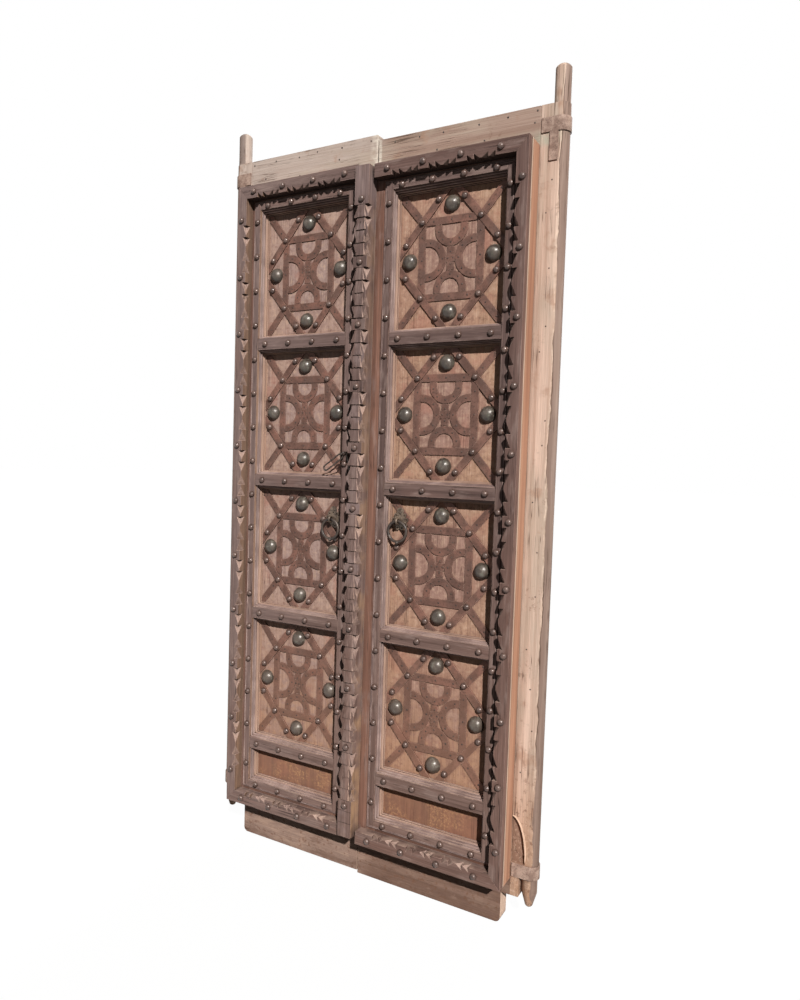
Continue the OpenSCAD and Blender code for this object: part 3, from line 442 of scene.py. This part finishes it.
def pale_wood(name, axis, foot):
    """Bleached back frame: pinkish pale tan with grey bloom, cracks, and brown towards the foot."""
    n = Nodes(bpy.data.materials.new(name))
    point = n.coords()
    x, y, z = n.split(point)
    nx, ny, _ = n.split(n.normal())
    fine, broad, crack = grain(n, point, axis)
    base = n.mix(broad, colour(192, 163, 146), colour(226, 199, 182))
    if axis == X_AXIS:
        base = n.tint(base, n.mix(broad, colour(146, 122, 110), colour(178, 154, 142)), 0.85)
    base = n.tint(base, colour(198, 184, 175), 0.75, n.ramp(x, *LEFT_LEAF))
    grey = n.ramp(n.noise(n.scaled(point, along(axis, 22, 4)), detail=4), 0.46, 0.66)
    base = n.tint(base, colour(186, 172, 156), 0.55, grey)
    brown = n.ramp(n.noise(point, 16, 4), 0.56, 0.7)
    base = n.tint(base, colour(164, 122, 98), 0.5, brown)
    above = n.both(n.ramp(z, *DUST_LOW), n.ramp(z, *DUST_HIGH), n.ramp(ny, 0.3, -0.3))
    base = n.tint(base, colour(178, 180, 162), 0.8, above, n.ramp(n.noise(point, 20, 4), 0.3, 0.55))
    corner = n.both(n.ramp(x, *CORNER_LEFT), n.ramp(x, *CORNER_RIGHT), n.ramp(z, *CORNER_LOW))
    base = n.tint(base, colour(236, 228, 214), 0.75, corner, n.ramp(n.noise(point, 34, 4), 0.36, 0.56))
    low = n.ramp(z, *PALE_LOW)
    base = n.tint(base, n.mix(broad, colour(116, 87, 75), colour(154, 122, 107)), foot, low)
    base = n.tint(base, colour(160, 136, 124), 0.5 * foot, low, n.ramp(x, *LEFT_LEAF))
    if axis == X_AXIS:
        patchy = n.noise(n.scaled(point, (14, 26, 40), (2, 4, 6)), detail=6, rough=0.7)
        base = n.tint(base, colour(102, 75, 64), 0.5, low, n.ramp(patchy, 0.52, 0.62))
        base = n.tint(base, colour(182, 152, 134), 0.5, low, n.ramp(patchy, 0.48, 0.38))
        base = n.tint(base, colour(92, 70, 61), 0.45, low, n.ramp(x, *RIGHT_FOOT))
    spots = n.ramp(n.noise(point, 80, 5, 0.7), 0.54, 0.66)
    if axis == Z_AXIS:
        base = n.tint(base, colour(200, 148, 112), 0.45, n.ramp(z, *WARM_LOW))
    base = n.tint(base, colour(112, 76, 58), 0.75, spots, n.ramp(z, *SPOTS_LOW))
    base = n.tint(base, colour(120, 92, 76), 0.5, spots, n.ramp(n.noise(point, 5, 2), 0.5, 0.62))
    scoop = n.deep(y, -0.6 * MM, -2 * MM)
    scoop = n.both(scoop, n.ramp(x, *SCOOP_LEFT), n.ramp(x, *SCOOP_RIGHT))
    scoop = n.both(scoop, n.ramp(z, *SCOOP_TOP), n.ramp(z, *SCOOP_FOOT), n.ramp(ny, 0.2, -0.2))
    base = n.tint(base, n.mix(spots, colour(138, 106, 90), colour(90, 65, 54)), 0.85, scoop)
    speck = n.both(n.ramp(n.noise(point, 130, 5, 0.75), 0.52, 0.62), n.ramp(z, *SPECKS_LOW))
    if axis == Z_AXIS:
        base = n.tint(base, colour(228, 198, 174), 0.5, speck)
    end_grain = n.ramp(n.math("ABSOLUTE", nx), 0.4, 0.8)
    end_grain = n.both(end_grain, n.ramp(z, *FOOT_END_TOP), n.ramp(x, *FOOT_END))
    base = n.tint(base, colour(236, 204, 182), 0.9, end_grain)
    shake = n.span(n.noise(n.scaled(point, (30, 30, 11)), detail=4), 0.3, 0.7, -3.5 * MM, 3.5 * MM)
    outward = n.either(x, n.math("SUBTRACT", SPAN, x))
    ridge = n.math("ADD", n.math("SUBTRACT", outward, RIDGE_X), shake)
    beyond = n.both(n.ramp(ridge, 0.0, 1.4 * MM), n.ramp(y, *RIDGE_BACK))
    upper = n.both(n.ramp(ny, 0.2, -0.2), n.ramp(z, *RIDGE_FOOT))
    base = n.tint(base, n.mix(broad, colour(128, 108, 99), colour(168, 146, 135)), 0.9, beyond)
    bright = n.ramp(n.off(ridge, -2.2 * MM), 2.4 * MM, 0.4 * MM)
    bright = n.both(bright, n.ramp(n.noise(point, 26, 4), 0.4, 0.6))
    base = n.tint(base, colour(242, 218, 198), 0.65, bright, upper)
    # Painted shade: the side of the left top pin turned away from the light is darkened
    pin_shade_facing = n.math("ADD", n.both(nx, 0.76), n.both(ny, 0.65))
    pin_shade = n.both(n.ramp(z, *PIN_LOW), n.ramp(pin_shade_facing, 0.15, -0.25), n.ramp(x, *LEFT_PIN))
    base = n.tint(base, colour(112, 99, 95), 0.8, pin_shade)
    split = n.both(n.ramp(n.off(ridge, 0.3 * MM), 1.3 * MM, 0.3 * MM), upper)
    split = n.both(split, n.ramp(n.noise(n.scaled(point, (9, 9, 4)), detail=3), 0.42, 0.55))
    base = n.tint(base, colour(62, 44, 36), 0.85, split)
    base = n.tint(base, colour(140, 110, 93), n.span(fine, 0.32, 0.66, 0.36, 0.0))
    base = n.tint(base, colour(78, 58, 46), 0.8, crack)
    # Painted shade: crevices darkened
    base = n.tint(base, colour(96, 70, 56), 0.45, n.crevice(25 * MM))
    height = n.math("SUBTRACT", n.math("ADD", fine, broad), n.both(n.either(crack, split), 1.5))
    rough = n.span(fine, 0.3, 0.7, 0.68, 0.86)
    return n.finish(base, rough, height, strength=0.45, distance=1.5 * MM, **MATT)


def strap_iron(name):
    """Flat rusted straps, brown to red-brown, with dark pitting."""
    n = Nodes(bpy.data.materials.new(name))
    point = n.coords()
    _, y, z = n.split(point)
    blotch = n.noise(point, 26, 4, 0.6)
    pits = n.noise(point, 240, 4, 0.65)
    base = n.mix(n.ramp(blotch, 0.36, 0.64), colour(98, 71, 62), colour(132, 98, 86))
    inlay = n.deep(y, PANEL_D + 3.9 * MM, PANEL_D + 3.1 * MM)
    base = n.tint(base, colour(108, 80, 71), 0.4, inlay)
    base = n.tint(base, colour(142, 98, 84), 0.45, n.ramp(n.noise(point, 13, 4, 0.65), 0.5, 0.66))
    base = n.tint(base, colour(98, 78, 71), 0.5, n.ramp(n.noise(point, 19, 4, 0.65), 0.5, 0.64))
    dots = n.ramp(n.noise(point, 150, 3, 0.6), 0.55, 0.66)
    base = n.tint(base, colour(66, 48, 42), 0.55, dots)
    base = n.tint(base, colour(84, 60, 52), 0.5, n.ramp(pits, 0.52, 0.68))
    base = n.tint(base, colour(160, 116, 92), 0.35, n.ramp(z, *STRAP_LOW))
    # Pale edges: rubbed wear, partly a painted highlight along the lit edges
    wear_and_edge_highlight = n.both(n.edge(1.6 * MM), n.ramp(n.noise(point, 70, 3), 0.32, 0.54))
    base = n.tint(base, colour(208, 174, 156), 0.75, wear_and_edge_highlight)
    # Painted shade: crevices beside and between the straps darkened
    base = n.tint(base, colour(58, 40, 34), 0.4, n.crevice(5 * MM))
    rough = n.span(pits, 0.3, 0.7, 0.5, 0.75)
    height = n.math("ADD", blotch, pits)
    return n.finish(base, rough, height, strength=0.3, Metallic=0.1, **{"Specular IOR Level": 0.25})


def dark_iron(name, tone, bright, rough_low, metallic, gloss):
    """Hammered iron with a brown skin in darker and brighter blotches, with dark pits."""
    n = Nodes(bpy.data.materials.new(name))
    point = n.coords()
    blotch = n.noise(point, 60, 4, 0.6)
    pits = n.noise(point, 330, 3, 0.6)
    base = n.mix(n.ramp(blotch, 0.35, 0.65), tone, bright)
    base = n.tint(base, colour(44, 33, 29), 0.5, n.ramp(pits, 0.52, 0.7))
    # Painted shade: crevices darkened
    base = n.tint(base, colour(34, 26, 23), 0.6, n.crevice(8 * MM))
    rough = n.span(pits, 0.3, 0.7, rough_low, rough_low + 0.2)
    height = n.math("ADD", n.both(blotch, 1.5), pits)
    shine = {"Metallic": metallic, "Specular IOR Level": gloss}
    return n.finish(base, rough, height, strength=0.22, **shine)


def boss_bronze(name):
    """Cast bronze with grey-green patina that gathers in streaks, browner at the foot."""
    n = Nodes(bpy.data.materials.new(name))
    point = n.coords()
    z = n.split(point)[2]
    blotch = n.noise(point, 45, 4, 0.6)
    streak = n.noise(n.scaled(point, (120, 120, 26)), detail=4)
    pits = n.noise(point, 260, 3)
    base = n.mix(n.ramp(blotch, 0.35, 0.65), colour(64, 55, 49), colour(97, 85, 76))
    base = n.tint(base, colour(94, 93, 81), 0.5, n.ramp(streak, 0.5, 0.66))
    base = n.tint(base, colour(102, 86, 76), 0.5, n.ramp(z, *BOSS_LOW))
    base = n.tint(base, colour(60, 54, 46), 0.5, n.ramp(pits, 0.54, 0.68))
    # Painted shade: crevices darkened
    base = n.tint(base, colour(40, 35, 29), 0.6, n.crevice(12 * MM))
    # Light grey flecks: partly patina mottling, partly painted glints
    base = n.tint(base, colour(132, 131, 119), 0.4, n.ramp(n.noise(point, 90, 4, 0.65), 0.54, 0.66))
    rough = n.span(blotch, 0.3, 0.7, 0.26, 0.44)
    bump = n.math("ADD", n.both(blotch, 1.5), pits)
    return n.finish(base, rough, bump, strength=0.3, Metallic=0.15, **{"Specular IOR Level": 0.55})


FRAME_UP = frame_wood("frame_wood_upright", Z_AXIS)
FRAME_ACROSS = frame_wood("frame_wood_across", X_AXIS)
BEAD = frame_wood("bead_wood", Z_AXIS, bead=True)
PANEL = {side: panel_wood(f"{side}_panel_wood", side) for side in SIDES}
PALE_UP = pale_wood("pale_wood_upright", Z_AXIS, foot=0.35)
PALE_ACROSS = pale_wood("pale_wood_across", X_AXIS, foot=0.85)
REED = plain_wood(
    "reed_wood", dark=colour(132, 110, 105), light=colour(170, 146, 139), inner=colour(198, 160, 136),
)
SPLINTER = plain_wood(
    "splinter_wood", dark=colour(178, 144, 122), light=colour(226, 194, 170), inner=colour(206, 172, 148),
)
STRAP = strap_iron("strap_iron")
STUD = dark_iron(
    "stud_iron", colour(78, 59, 52), colour(110, 87, 78), rough_low=0.22, metallic=0.15, gloss=0.6,
)
RIVET = dark_iron(
    "rivet_iron", colour(58, 43, 38), colour(92, 72, 62), rough_low=0.36, metallic=0.1, gloss=0.4,
)
IRON = dark_iron(
    "dark_iron", colour(50, 41, 37), colour(82, 69, 60), rough_low=0.36, metallic=0.3, gloss=0.6,
)
BAND_IRON = dark_iron(
    "band_iron", colour(138, 113, 101), colour(178, 152, 138), rough_low=0.6, metallic=0.0, gloss=0.2,
)
BRONZE = boss_bronze("boss_bronze")
BRASS = dark_iron(
    "handle_brass", colour(74, 60, 50), colour(128, 110, 94), rough_low=0.3, metallic=0.3, gloss=0.6,
)


# Materials and softened edges of the CAD pieces
WELD_REACH = 0.01 * MM
EDGE_STEPS = 2
EDGE_ANGLE = math.radians(30)


def dress(node, material, edge):
    piece = NODES[node]
    piece.data.materials.clear()
    piece.data.materials.append(material)
    if edge:
        weld = piece.modifiers.new("weld", "WELD")
        weld.merge_threshold = WELD_REACH
        bevel = piece.modifiers.new("edge", "BEVEL")
        bevel.width = edge
        bevel.segments = EDGE_STEPS
        bevel.limit_method = "ANGLE"
        bevel.angle_limit = EDGE_ANGLE
        bevel.use_clamp_overlap = True


SHARP = 0
WOOD_EDGE = 1.4 * MM
BACK_EDGE = 2.5 * MM
CARVED_EDGE = 1.0 * MM
STRAP_EDGE = 0.7 * MM
BAND_EDGE = 0.8 * MM
PLATE_EDGE = 0.5 * MM
LEAF_DRESS = (
    (FRAME_UP, WOOD_EDGE, ("hinge_stile", "meeting_stile")),
    (FRAME_ACROSS, WOOD_EDGE, ("top_rail", "bottom_rail")),
    (FRAME_ACROSS, WOOD_EDGE, ("cross_rail_1", "cross_rail_2", "cross_rail_3", "cross_rail_4")),
    (FRAME_UP, CARVED_EDGE, ("carved_stile",)),
    (FRAME_ACROSS, CARVED_EDGE, ("carved_top_rail", "carved_bottom_rail")),
    (PALE_UP, WOOD_EDGE, ("pivot_stile", "back_planks")),
    (PALE_ACROSS, BACK_EDGE, ("back_top_rail", "back_bottom_rail")),
    (PALE_ACROSS, WOOD_EDGE, ("back_ledges",)),
    (STRAP, STRAP_EDGE, ("strapwork",)),
    (BRONZE, SHARP, ("bosses",)),
    (STUD, SHARP, ("studs",)),
    (BAND_IRON, BAND_EDGE, ("pivot_bands",)),
    (BRASS, PLATE_EDGE, ("handle_plate",)),
    (BRASS, SHARP, ("handle_eye",)),
    (IRON, SHARP, ("handle_ring",)),
)
for side in SIDES:
    for material, edge, parts in LEAF_DRESS:
        for part in parts:
            dress(f"{side}_{part}", material, edge)
    for k in PANELS:
        dress(f"{side}_panel_{k}", PANEL[side], SHARP)
    dress(f"{side}_sill_panel", PANEL[side], SHARP)
dress("meeting_bead", BEAD, CARVED_EDGE)
dress("hasp_staple", IRON, SHARP)
dress("hasp_link", IRON, SHARP)


def new_piece(name, bm, body, materials):
    mesh = bpy.data.meshes.new(name)
    bmesh.ops.recalc_face_normals(bm, faces=bm.faces)
    bm.to_mesh(mesh)
    bm.free()
    piece = bpy.data.objects.new(name, mesh)
    bpy.context.scene.collection.objects.link(piece)
    for material in materials:
        mesh.materials.append(material)
    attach(piece, body)


# Reeds: fine half-round lines worked along the bands and slopes, mitred at the corners
def reed_loop(bm, side, u0, u1, z0, z1, depth, radius, steps=5):
    x0, x1 = sorted((leaf_x(side, u0), leaf_x(side, u1)))
    low, high = leaf_z(side, z0), leaf_z(side, z1)
    rings = []
    for i in range(steps + 1):
        turn = math.pi * i / steps
        out = radius * math.cos(turn)
        y = front_y(depth) - radius * math.sin(turn)
        left, right = x0 - out, x1 + out
        bottom, top = low - out, high + out
        corners = ((left, bottom), (right, bottom), (right, top), (left, top))
        rings.append([bm.verts.new((x, y, z)) for x, z in corners])
    rings.append(rings[0])
    for a, b in zip(rings, rings[1:]):
        for i in range(4):
            j = (i + 1) % 4
            face = bm.faces.new((a[i], a[j], b[j], b[i]))
            face.smooth = True


# On the slopes: distance from the opening's edge and radius; round the bands: distance out, depth, radius
SLOPE_REEDS = ((1.5 * MM, 2.2 * MM), (4.4 * MM, 2.6 * MM), (7.4 * MM, 2.2 * MM))
FOOT_REED = (10.4 * MM, 1.2 * MM)
BAND_REEDS = (
    (13 * MM, FILLET_D, 1.2 * MM),
    (17.2 * MM, GROUND_D, 1.0 * MM),
    (8.3 * MM, BAND_D, 0.7 * MM),
)


def slope_depth(w):
    """Depth of the sloping side at a distance from the opening's edge."""
    share = w / (BEVEL_W - BEVEL_STEP)
    return (BAND_D - BEVEL_STEP) * (1 - share) + (PANEL_D + BEVEL_STEP) * share


for side in SIDES:
    bm = bmesh.new()
    lo, hi = OPEN_U[side]
    for k in ROWS:
        bottom, top = opening_z(k)
        for w, radius in SLOPE_REEDS:
            reed_loop(bm, side, lo + w, hi - w, bottom + w, top - w, slope_depth(w), radius)
        w, radius = FOOT_REED
        reed_loop(bm, side, lo + w, hi - w, bottom + w, top - w, PANEL_D + BEVEL_STEP, radius)
    b0, b1 = BAND_U[side]
    z0, z1 = BAND_Z
    for out, depth, radius in BAND_REEDS:
        reed_loop(bm, side, b0 - out, b1 + out, z0 - out, z1 + out, depth, radius)
    new_piece(f"{side}_reeds", bm, f"{side}_leaf", [REED])


# Rivets of the strap pattern
def add_dome(bm, x, y, z, radius, height, around=8, rows=3):
    top = bm.verts.new((x, y - height, z))
    previous = None
    for r in range(rows):
        turn = math.pi / 2 * (r + 1) / rows
        reach = radius * math.sin(turn)
        level = y - height * math.cos(turn)
        ring = []
        for i in range(around):
            a = 2 * math.pi * i / around
            ring.append(bm.verts.new((x + reach * math.cos(a), level, z + reach * math.sin(a))))
        for i in range(around):
            j = (i + 1) % around
            if previous is None:
                face = bm.faces.new((top, ring[i], ring[j]))
            else:
                face = bm.faces.new((previous[i], ring[i], ring[j], previous[j]))
            face.smooth = True
        previous = ring
    bm.faces.new(previous)


RIVET_R = 2.6 * MM
RIVET_H = 1.5 * MM
SUNK = 0.2 * MM
SQUARE_RIVETS = (-0.62, 0.0, 0.62)
ARCH_RIVETS = (12, 50, 90, 130, 168)
CORNER_RIVETS = (0.3, 0.78)
CROSS_RIVET = 0.6
CROSS_RIVET_UP = 6 * MM


def strap_rivets(hw, hh):
    """Places of the rivets on the inlay straps, from the panel's middle."""
    a = hw * DIAMOND / 2
    b = hh * DIAMOND / 2
    side_r = 2 * b * ARCH
    top_r = 2 * a * ARCH
    lift = STRAP_W / 2
    rim = STRAP_W / 2 + STRAP_GAP
    places = []
    for m in (-1, 1):
        for t in SQUARE_RIVETS:
            places.append((m * a, t * b))
            places.append((t * a, m * b))
        for degrees in ARCH_RIVETS:
            turn = math.radians(degrees)
            mid = side_r - STRAP_W / 2
            places.append((m * (a - rim - lift / 2 - mid * math.sin(turn)), mid * math.cos(turn)))
            mid = top_r - STRAP_W / 2
            places.append((mid * math.cos(turn), m * (b - rim - lift - mid * math.sin(turn))))
        half_x = a - rim - side_r - STRAP_GAP - lift / 2
        places.append((m * half_x * CROSS_RIVET, 0.0))
        places.append((0.0, m * (STRAP_W / 2 + CROSS_RIVET_UP)))
        for n in (-1, 1):
            for t in CORNER_RIVETS:
                places.append((m * (a + (hw - a) * t), n * (b + (hh - b) * t)))
    return places


for side in SIDES:
    bm = bmesh.new()
    for k in PANELS:
        lo, hi, bottom, top = panel_box(side, k)
        hw, hh = (hi - lo) / 2, (top - bottom) / 2
        for du, dz in strap_rivets(hw, hh):
            x = leaf_x(side, lo + hw + du)
            z = leaf_z(side, bottom + hh + dz)
            add_dome(bm, x, front_y(PANEL_D + INLAY_T - SUNK), z, RIVET_R, RIVET_H)
    new_piece(f"{side}_rivets", bm, f"{side}_leaf", [RIVET])


# Old nails along the bare top and the pivot stiles
NAIL_SEED = {"left": 3, "right": 8}
NAIL_R = 2.8 * MM
STILE_NAIL_R = NAIL_R * 0.75
NAIL_H = 1.2 * MM
NAIL_DROP = 14 * MM
EDGE_NAILS = 6
EDGE_NAIL_U = 62 * MM
EDGE_NAIL_PITCH = 80 * MM
LOW_NAILS = 3
LOW_NAIL_U = 80 * MM
LOW_NAIL_PITCH = 140 * MM
STILE_NAILS = 14
STILE_NAIL_U = (26 * MM, 8 * MM, 8 * MM)
STILE_NAIL_Z = 420 * MM
STILE_NAIL_PITCH = 115 * MM


def add_nail(bm, side, u, z, radius):
    add_dome(bm, leaf_x(side, u), front_y(-SUNK), leaf_z(side, z), radius, NAIL_H)


for side in SIDES:
    chance = random.Random(NAIL_SEED[side])
    bm = bmesh.new()
    for i in range(EDGE_NAILS):
        u = EDGE_NAIL_U + i * EDGE_NAIL_PITCH + chance.uniform(-12, 12) * MM
        z = LEAF_H[side] - NAIL_DROP + chance.uniform(-3, 3) * MM
        add_nail(bm, side, u, z, NAIL_R)
    for i in range(LOW_NAILS):
        u = LOW_NAIL_U + i * LOW_NAIL_PITCH + chance.uniform(-30, 30) * MM
        z = FRAME_TOP + chance.uniform(30, 62) * MM
        add_nail(bm, side, u, z, NAIL_R)
    for i in range(STILE_NAILS):
        z = STILE_NAIL_Z + i * STILE_NAIL_PITCH + chance.uniform(-35, 35) * MM
        u = STILE_NAIL_U[i % 3] + chance.uniform(-5, 5) * MM
        add_nail(bm, side, u, z, STILE_NAIL_R)
    new_piece(f"{side}_nails", bm, f"{side}_leaf", [IRON])


# Knobs between the lobes of the handle plates, left out on the strap's side of the left plate
KNOB_R = 2.3 * MM
KNOB_H = 2.2 * MM
KNOB_REACH = 17 * MM
KNOBS = 9
KNOB_START = 110
KNOB_TURN = 40
PLATE_D = 26 * MM
STRAP_WAY = Vector((-0.77, -0.64))
STRAP_AWAY = 12.5 * MM
CROWN_UP = 26 * MM
CROWN_KNOBS = ((-5 * MM, 0), (5 * MM, 0), (0, 5 * MM), (0, -4 * MM))


def add_knob(bm, x, z):
    add_dome(bm, x, front_y(PLATE_D - SUNK), z, KNOB_R, KNOB_H)


for side in SIDES:
    bm = bmesh.new()
    cx, cz = RING[side]
    for i in range(KNOBS):
        turn = math.radians(KNOB_START + KNOB_TURN * i)
        spot = Vector((math.cos(turn), math.sin(turn))) * KNOB_REACH
        if side == "right" or spot.dot(STRAP_WAY) < STRAP_AWAY:
            add_knob(bm, cx + spot.x, cz + spot.y)
    for dx, dz in CROWN_KNOBS:
        add_knob(bm, cx + dx, cz + CROWN_UP + dz)
    new_piece(f"{side}_plate_knobs", bm, f"{side}_leaf", [BRASS])


# The raised splinter along the edge of the broken pivot stile: its section is in widths and heights
SPLINTER_STEPS = 20
SPLINTER_W = 9 * MM
SPLINTER_H = 4.5 * MM
SPLINTER_START = 4
SPLINTER_SWEEP = 84
SPLINTER_SECTION = ((-0.1, -0.4), (0.25, 1.0), (1.0, -0.4))


def splinter():
    bm = bmesh.new()
    rows = []
    for i in range(SPLINTER_STEPS + 1):
        t = i / SPLINTER_STEPS
        turn = math.radians(SPLINTER_START + SPLINTER_SWEEP * t)
        u = GOUGE_U[1] - (GOUGE_U[1] - GOUGE_U[0]) * math.cos(turn)
        z = GOUGE_Z[0] + (GOUGE_Z[1] - GOUGE_Z[0]) * math.sin(turn)
        across = Vector((-math.cos(turn), math.sin(turn) * 0.4)).normalized()
        size = math.sin(math.pi * min(0.5, 0.12 + 1.2 * t)) * (1 - 0.55 * t)
        ring = []
        for out, rise in SPLINTER_SECTION:
            reach = out * SPLINTER_W * size
            x = leaf_x("right", u + across.x * reach)
            y = front_y(rise * SPLINTER_H * size)
            ring.append(bm.verts.new((x, y, leaf_z("right", z + across.y * reach))))
        rows.append(ring)
    for a, b in zip(rows, rows[1:]):
        for i in range(3):
            j = (i + 1) % 3
            bm.faces.new((a[i], a[j], b[j], b[i]))
    bm.faces.new(rows[0])
    bm.faces.new(rows[-1])
    return bm


new_piece("right_splinter", splinter(), "right_leaf", [SPLINTER])


# Scales cut across the meeting bead, four between each two studs, thicker at their lower edge
SCALE_SEED = 5
STUD_GAPS = 10
BEAD_X = 503 * MM
BEAD_D = 86 * MM
SCALE_H = 33.4 * MM
SCALE_GAP = 1.2 * MM
SCALE_FACET = 3.5 * MM
SCALE_THIN = 0.1 * MM
SCALE_WIDE = 15.5
SCALE_NARROW = 12.5


def add_scale(bm, z_low, z_high, half_low, half_high, rise):
    rings = []
    for z, half, lift in ((z_low, half_low, rise), (z_high, half_high, SCALE_THIN)):
        spots = ((-half, -SUNK), (half, -SUNK), (half - SCALE_FACET, lift), (SCALE_FACET - half, lift))
        rings.append([bm.verts.new((BEAD_X + dx, front_y(BEAD_D + d), z)) for dx, d in spots])
    low, high = rings
    for i in range(4):
        j = (i + 1) % 4
        bm.faces.new((low[i], low[j], high[j], high[i]))
    bm.faces.new(low)
    bm.faces.new(high)


bm = bmesh.new()
chance = random.Random(SCALE_SEED)
for k in range(STUD_GAPS):
    middle = FIRST_STUD + STUD_PITCH * (k + 0.5)
    for j in (-2, -1, 0, 1):
        low = middle + j * SCALE_H
        wide = (SCALE_WIDE + chance.uniform(-1, 1)) * MM
        narrow = (SCALE_NARROW + chance.uniform(-1, 1)) * MM
        rise = chance.uniform(2.2, 3.4) * MM
        add_scale(bm, low + SCALE_GAP, low + SCALE_H, wide, narrow, rise)
new_piece("bead_scales", bm, "left_leaf", [BEAD])


# Floor, backdrop and light
WHITE = (1.0, 1.0, 1.0, 1.0)
FLOOR_REACH = 40
FLOOR_X = 0.5
FLOOR_TONE = (0.12, 0.119, 0.117, 1.0)
FLOOR_GLOW = 1.38
FLOOR_WHITE = 0.7
FILL_TONE = (0.94, 0.97, 1.0, 1.0)
FILL_GLOW = 0.035


def seen_directly(n):
    """1 for rays that show the backdrop itself, 0 for those that only light the part."""
    path = n.add("ShaderNodeLightPath", {}).outputs
    return n.either(path["Is Camera Ray"], path["Is Glossy Ray"], path["Is Transmission Ray"])


def stage_material():
    n = Nodes(bpy.data.materials.new("pale_floor"))
    share = n.both(seen_directly(n), FLOOR_WHITE)
    matt = n.add("ShaderNodeBsdfDiffuse", {"Color": FLOOR_TONE})
    white = n.add("ShaderNodeEmission", {"Color": WHITE, "Strength": FLOOR_GLOW})
    mixed = n.add("ShaderNodeMixShader", {0: share, 1: matt.outputs[0], 2: white.outputs[0]})
    n.add("ShaderNodeOutputMaterial", {"Surface": mixed.outputs[0]})
    return n.owner


def studio_world():
    n = Nodes(bpy.data.worlds.new("studio"))
    fill = n.add("ShaderNodeBackground", {"Color": FILL_TONE, "Strength": FILL_GLOW})
    white = n.add("ShaderNodeBackground", {"Color": WHITE, "Strength": 1.0})
    mixed = n.add("ShaderNodeMixShader", {0: seen_directly(n), 1: fill.outputs[0], 2: white.outputs[0]})
    n.add("ShaderNodeOutputWorld", {"Surface": mixed.outputs[0]})
    return n.owner


bm = bmesh.new()
bmesh.ops.create_grid(bm, x_segments=1, y_segments=1, size=FLOOR_REACH)
mesh = bpy.data.meshes.new("floor")
bm.to_mesh(mesh)
bm.free()
floor = bpy.data.objects.new("floor", mesh)
floor.location = (FLOOR_X, 0, cad_box[0][2])
bpy.context.scene.collection.objects.link(floor)
mesh.materials.append(stage_material())
bpy.context.scene.world = studio_world()


def sun(name, way, energy, angle, tone):
    lamp = bpy.data.lights.new(name, "SUN")
    lamp.energy = energy
    lamp.angle = math.radians(angle)
    lamp.color = tone
    lamp_object = bpy.data.objects.new(name, lamp)
    lamp_object.rotation_euler = Vector(way).to_track_quat("-Z", "Y").to_euler()
    bpy.context.scene.collection.objects.link(lamp_object)


sun("key", way=(-0.84, 1.0, -0.88), energy=4.85, angle=1.2, tone=(1.0, 0.985, 0.955))
sun("behind", way=(0.0, -1.0, -0.4), energy=2.2, angle=25, tone=(0.95, 0.97, 1.0))


# Camera at the photograph's viewpoint: place in metres, turns in degrees
CAMERA_AT = (1.590, -1.798, 1.078)
CAMERA_YAW = 29.08
CAMERA_PITCH = -3.0
CAMERA_ROLL = -1.84
LENS = 26.39
SENSOR = 36
FAR = 200


def camera_turn(yaw, pitch, roll):
    ahead = Vector((-math.sin(yaw) * math.cos(pitch), math.cos(yaw) * math.cos(pitch), math.sin(pitch)))
    right = Vector((math.cos(yaw), math.sin(yaw), 0.0))
    down = ahead.cross(right)
    across = right * math.cos(roll) + down * math.sin(roll)
    below = down * math.cos(roll) - right * math.sin(roll)
    return Matrix((across, -below, -ahead)).transposed()


camera = bpy.data.cameras.new("camera")
camera.lens = LENS
camera.sensor_width = SENSOR
camera.clip_end = FAR
camera_object = bpy.data.objects.new("camera", camera)
turn = camera_turn(math.radians(CAMERA_YAW), math.radians(CAMERA_PITCH), math.radians(CAMERA_ROLL))
camera_object.matrix_world = Matrix.Translation(CAMERA_AT) @ turn.to_4x4()
bpy.context.scene.collection.objects.link(camera_object)
bpy.context.scene.camera = camera_object
bpy.context.scene.view_settings.view_transform = "Standard"
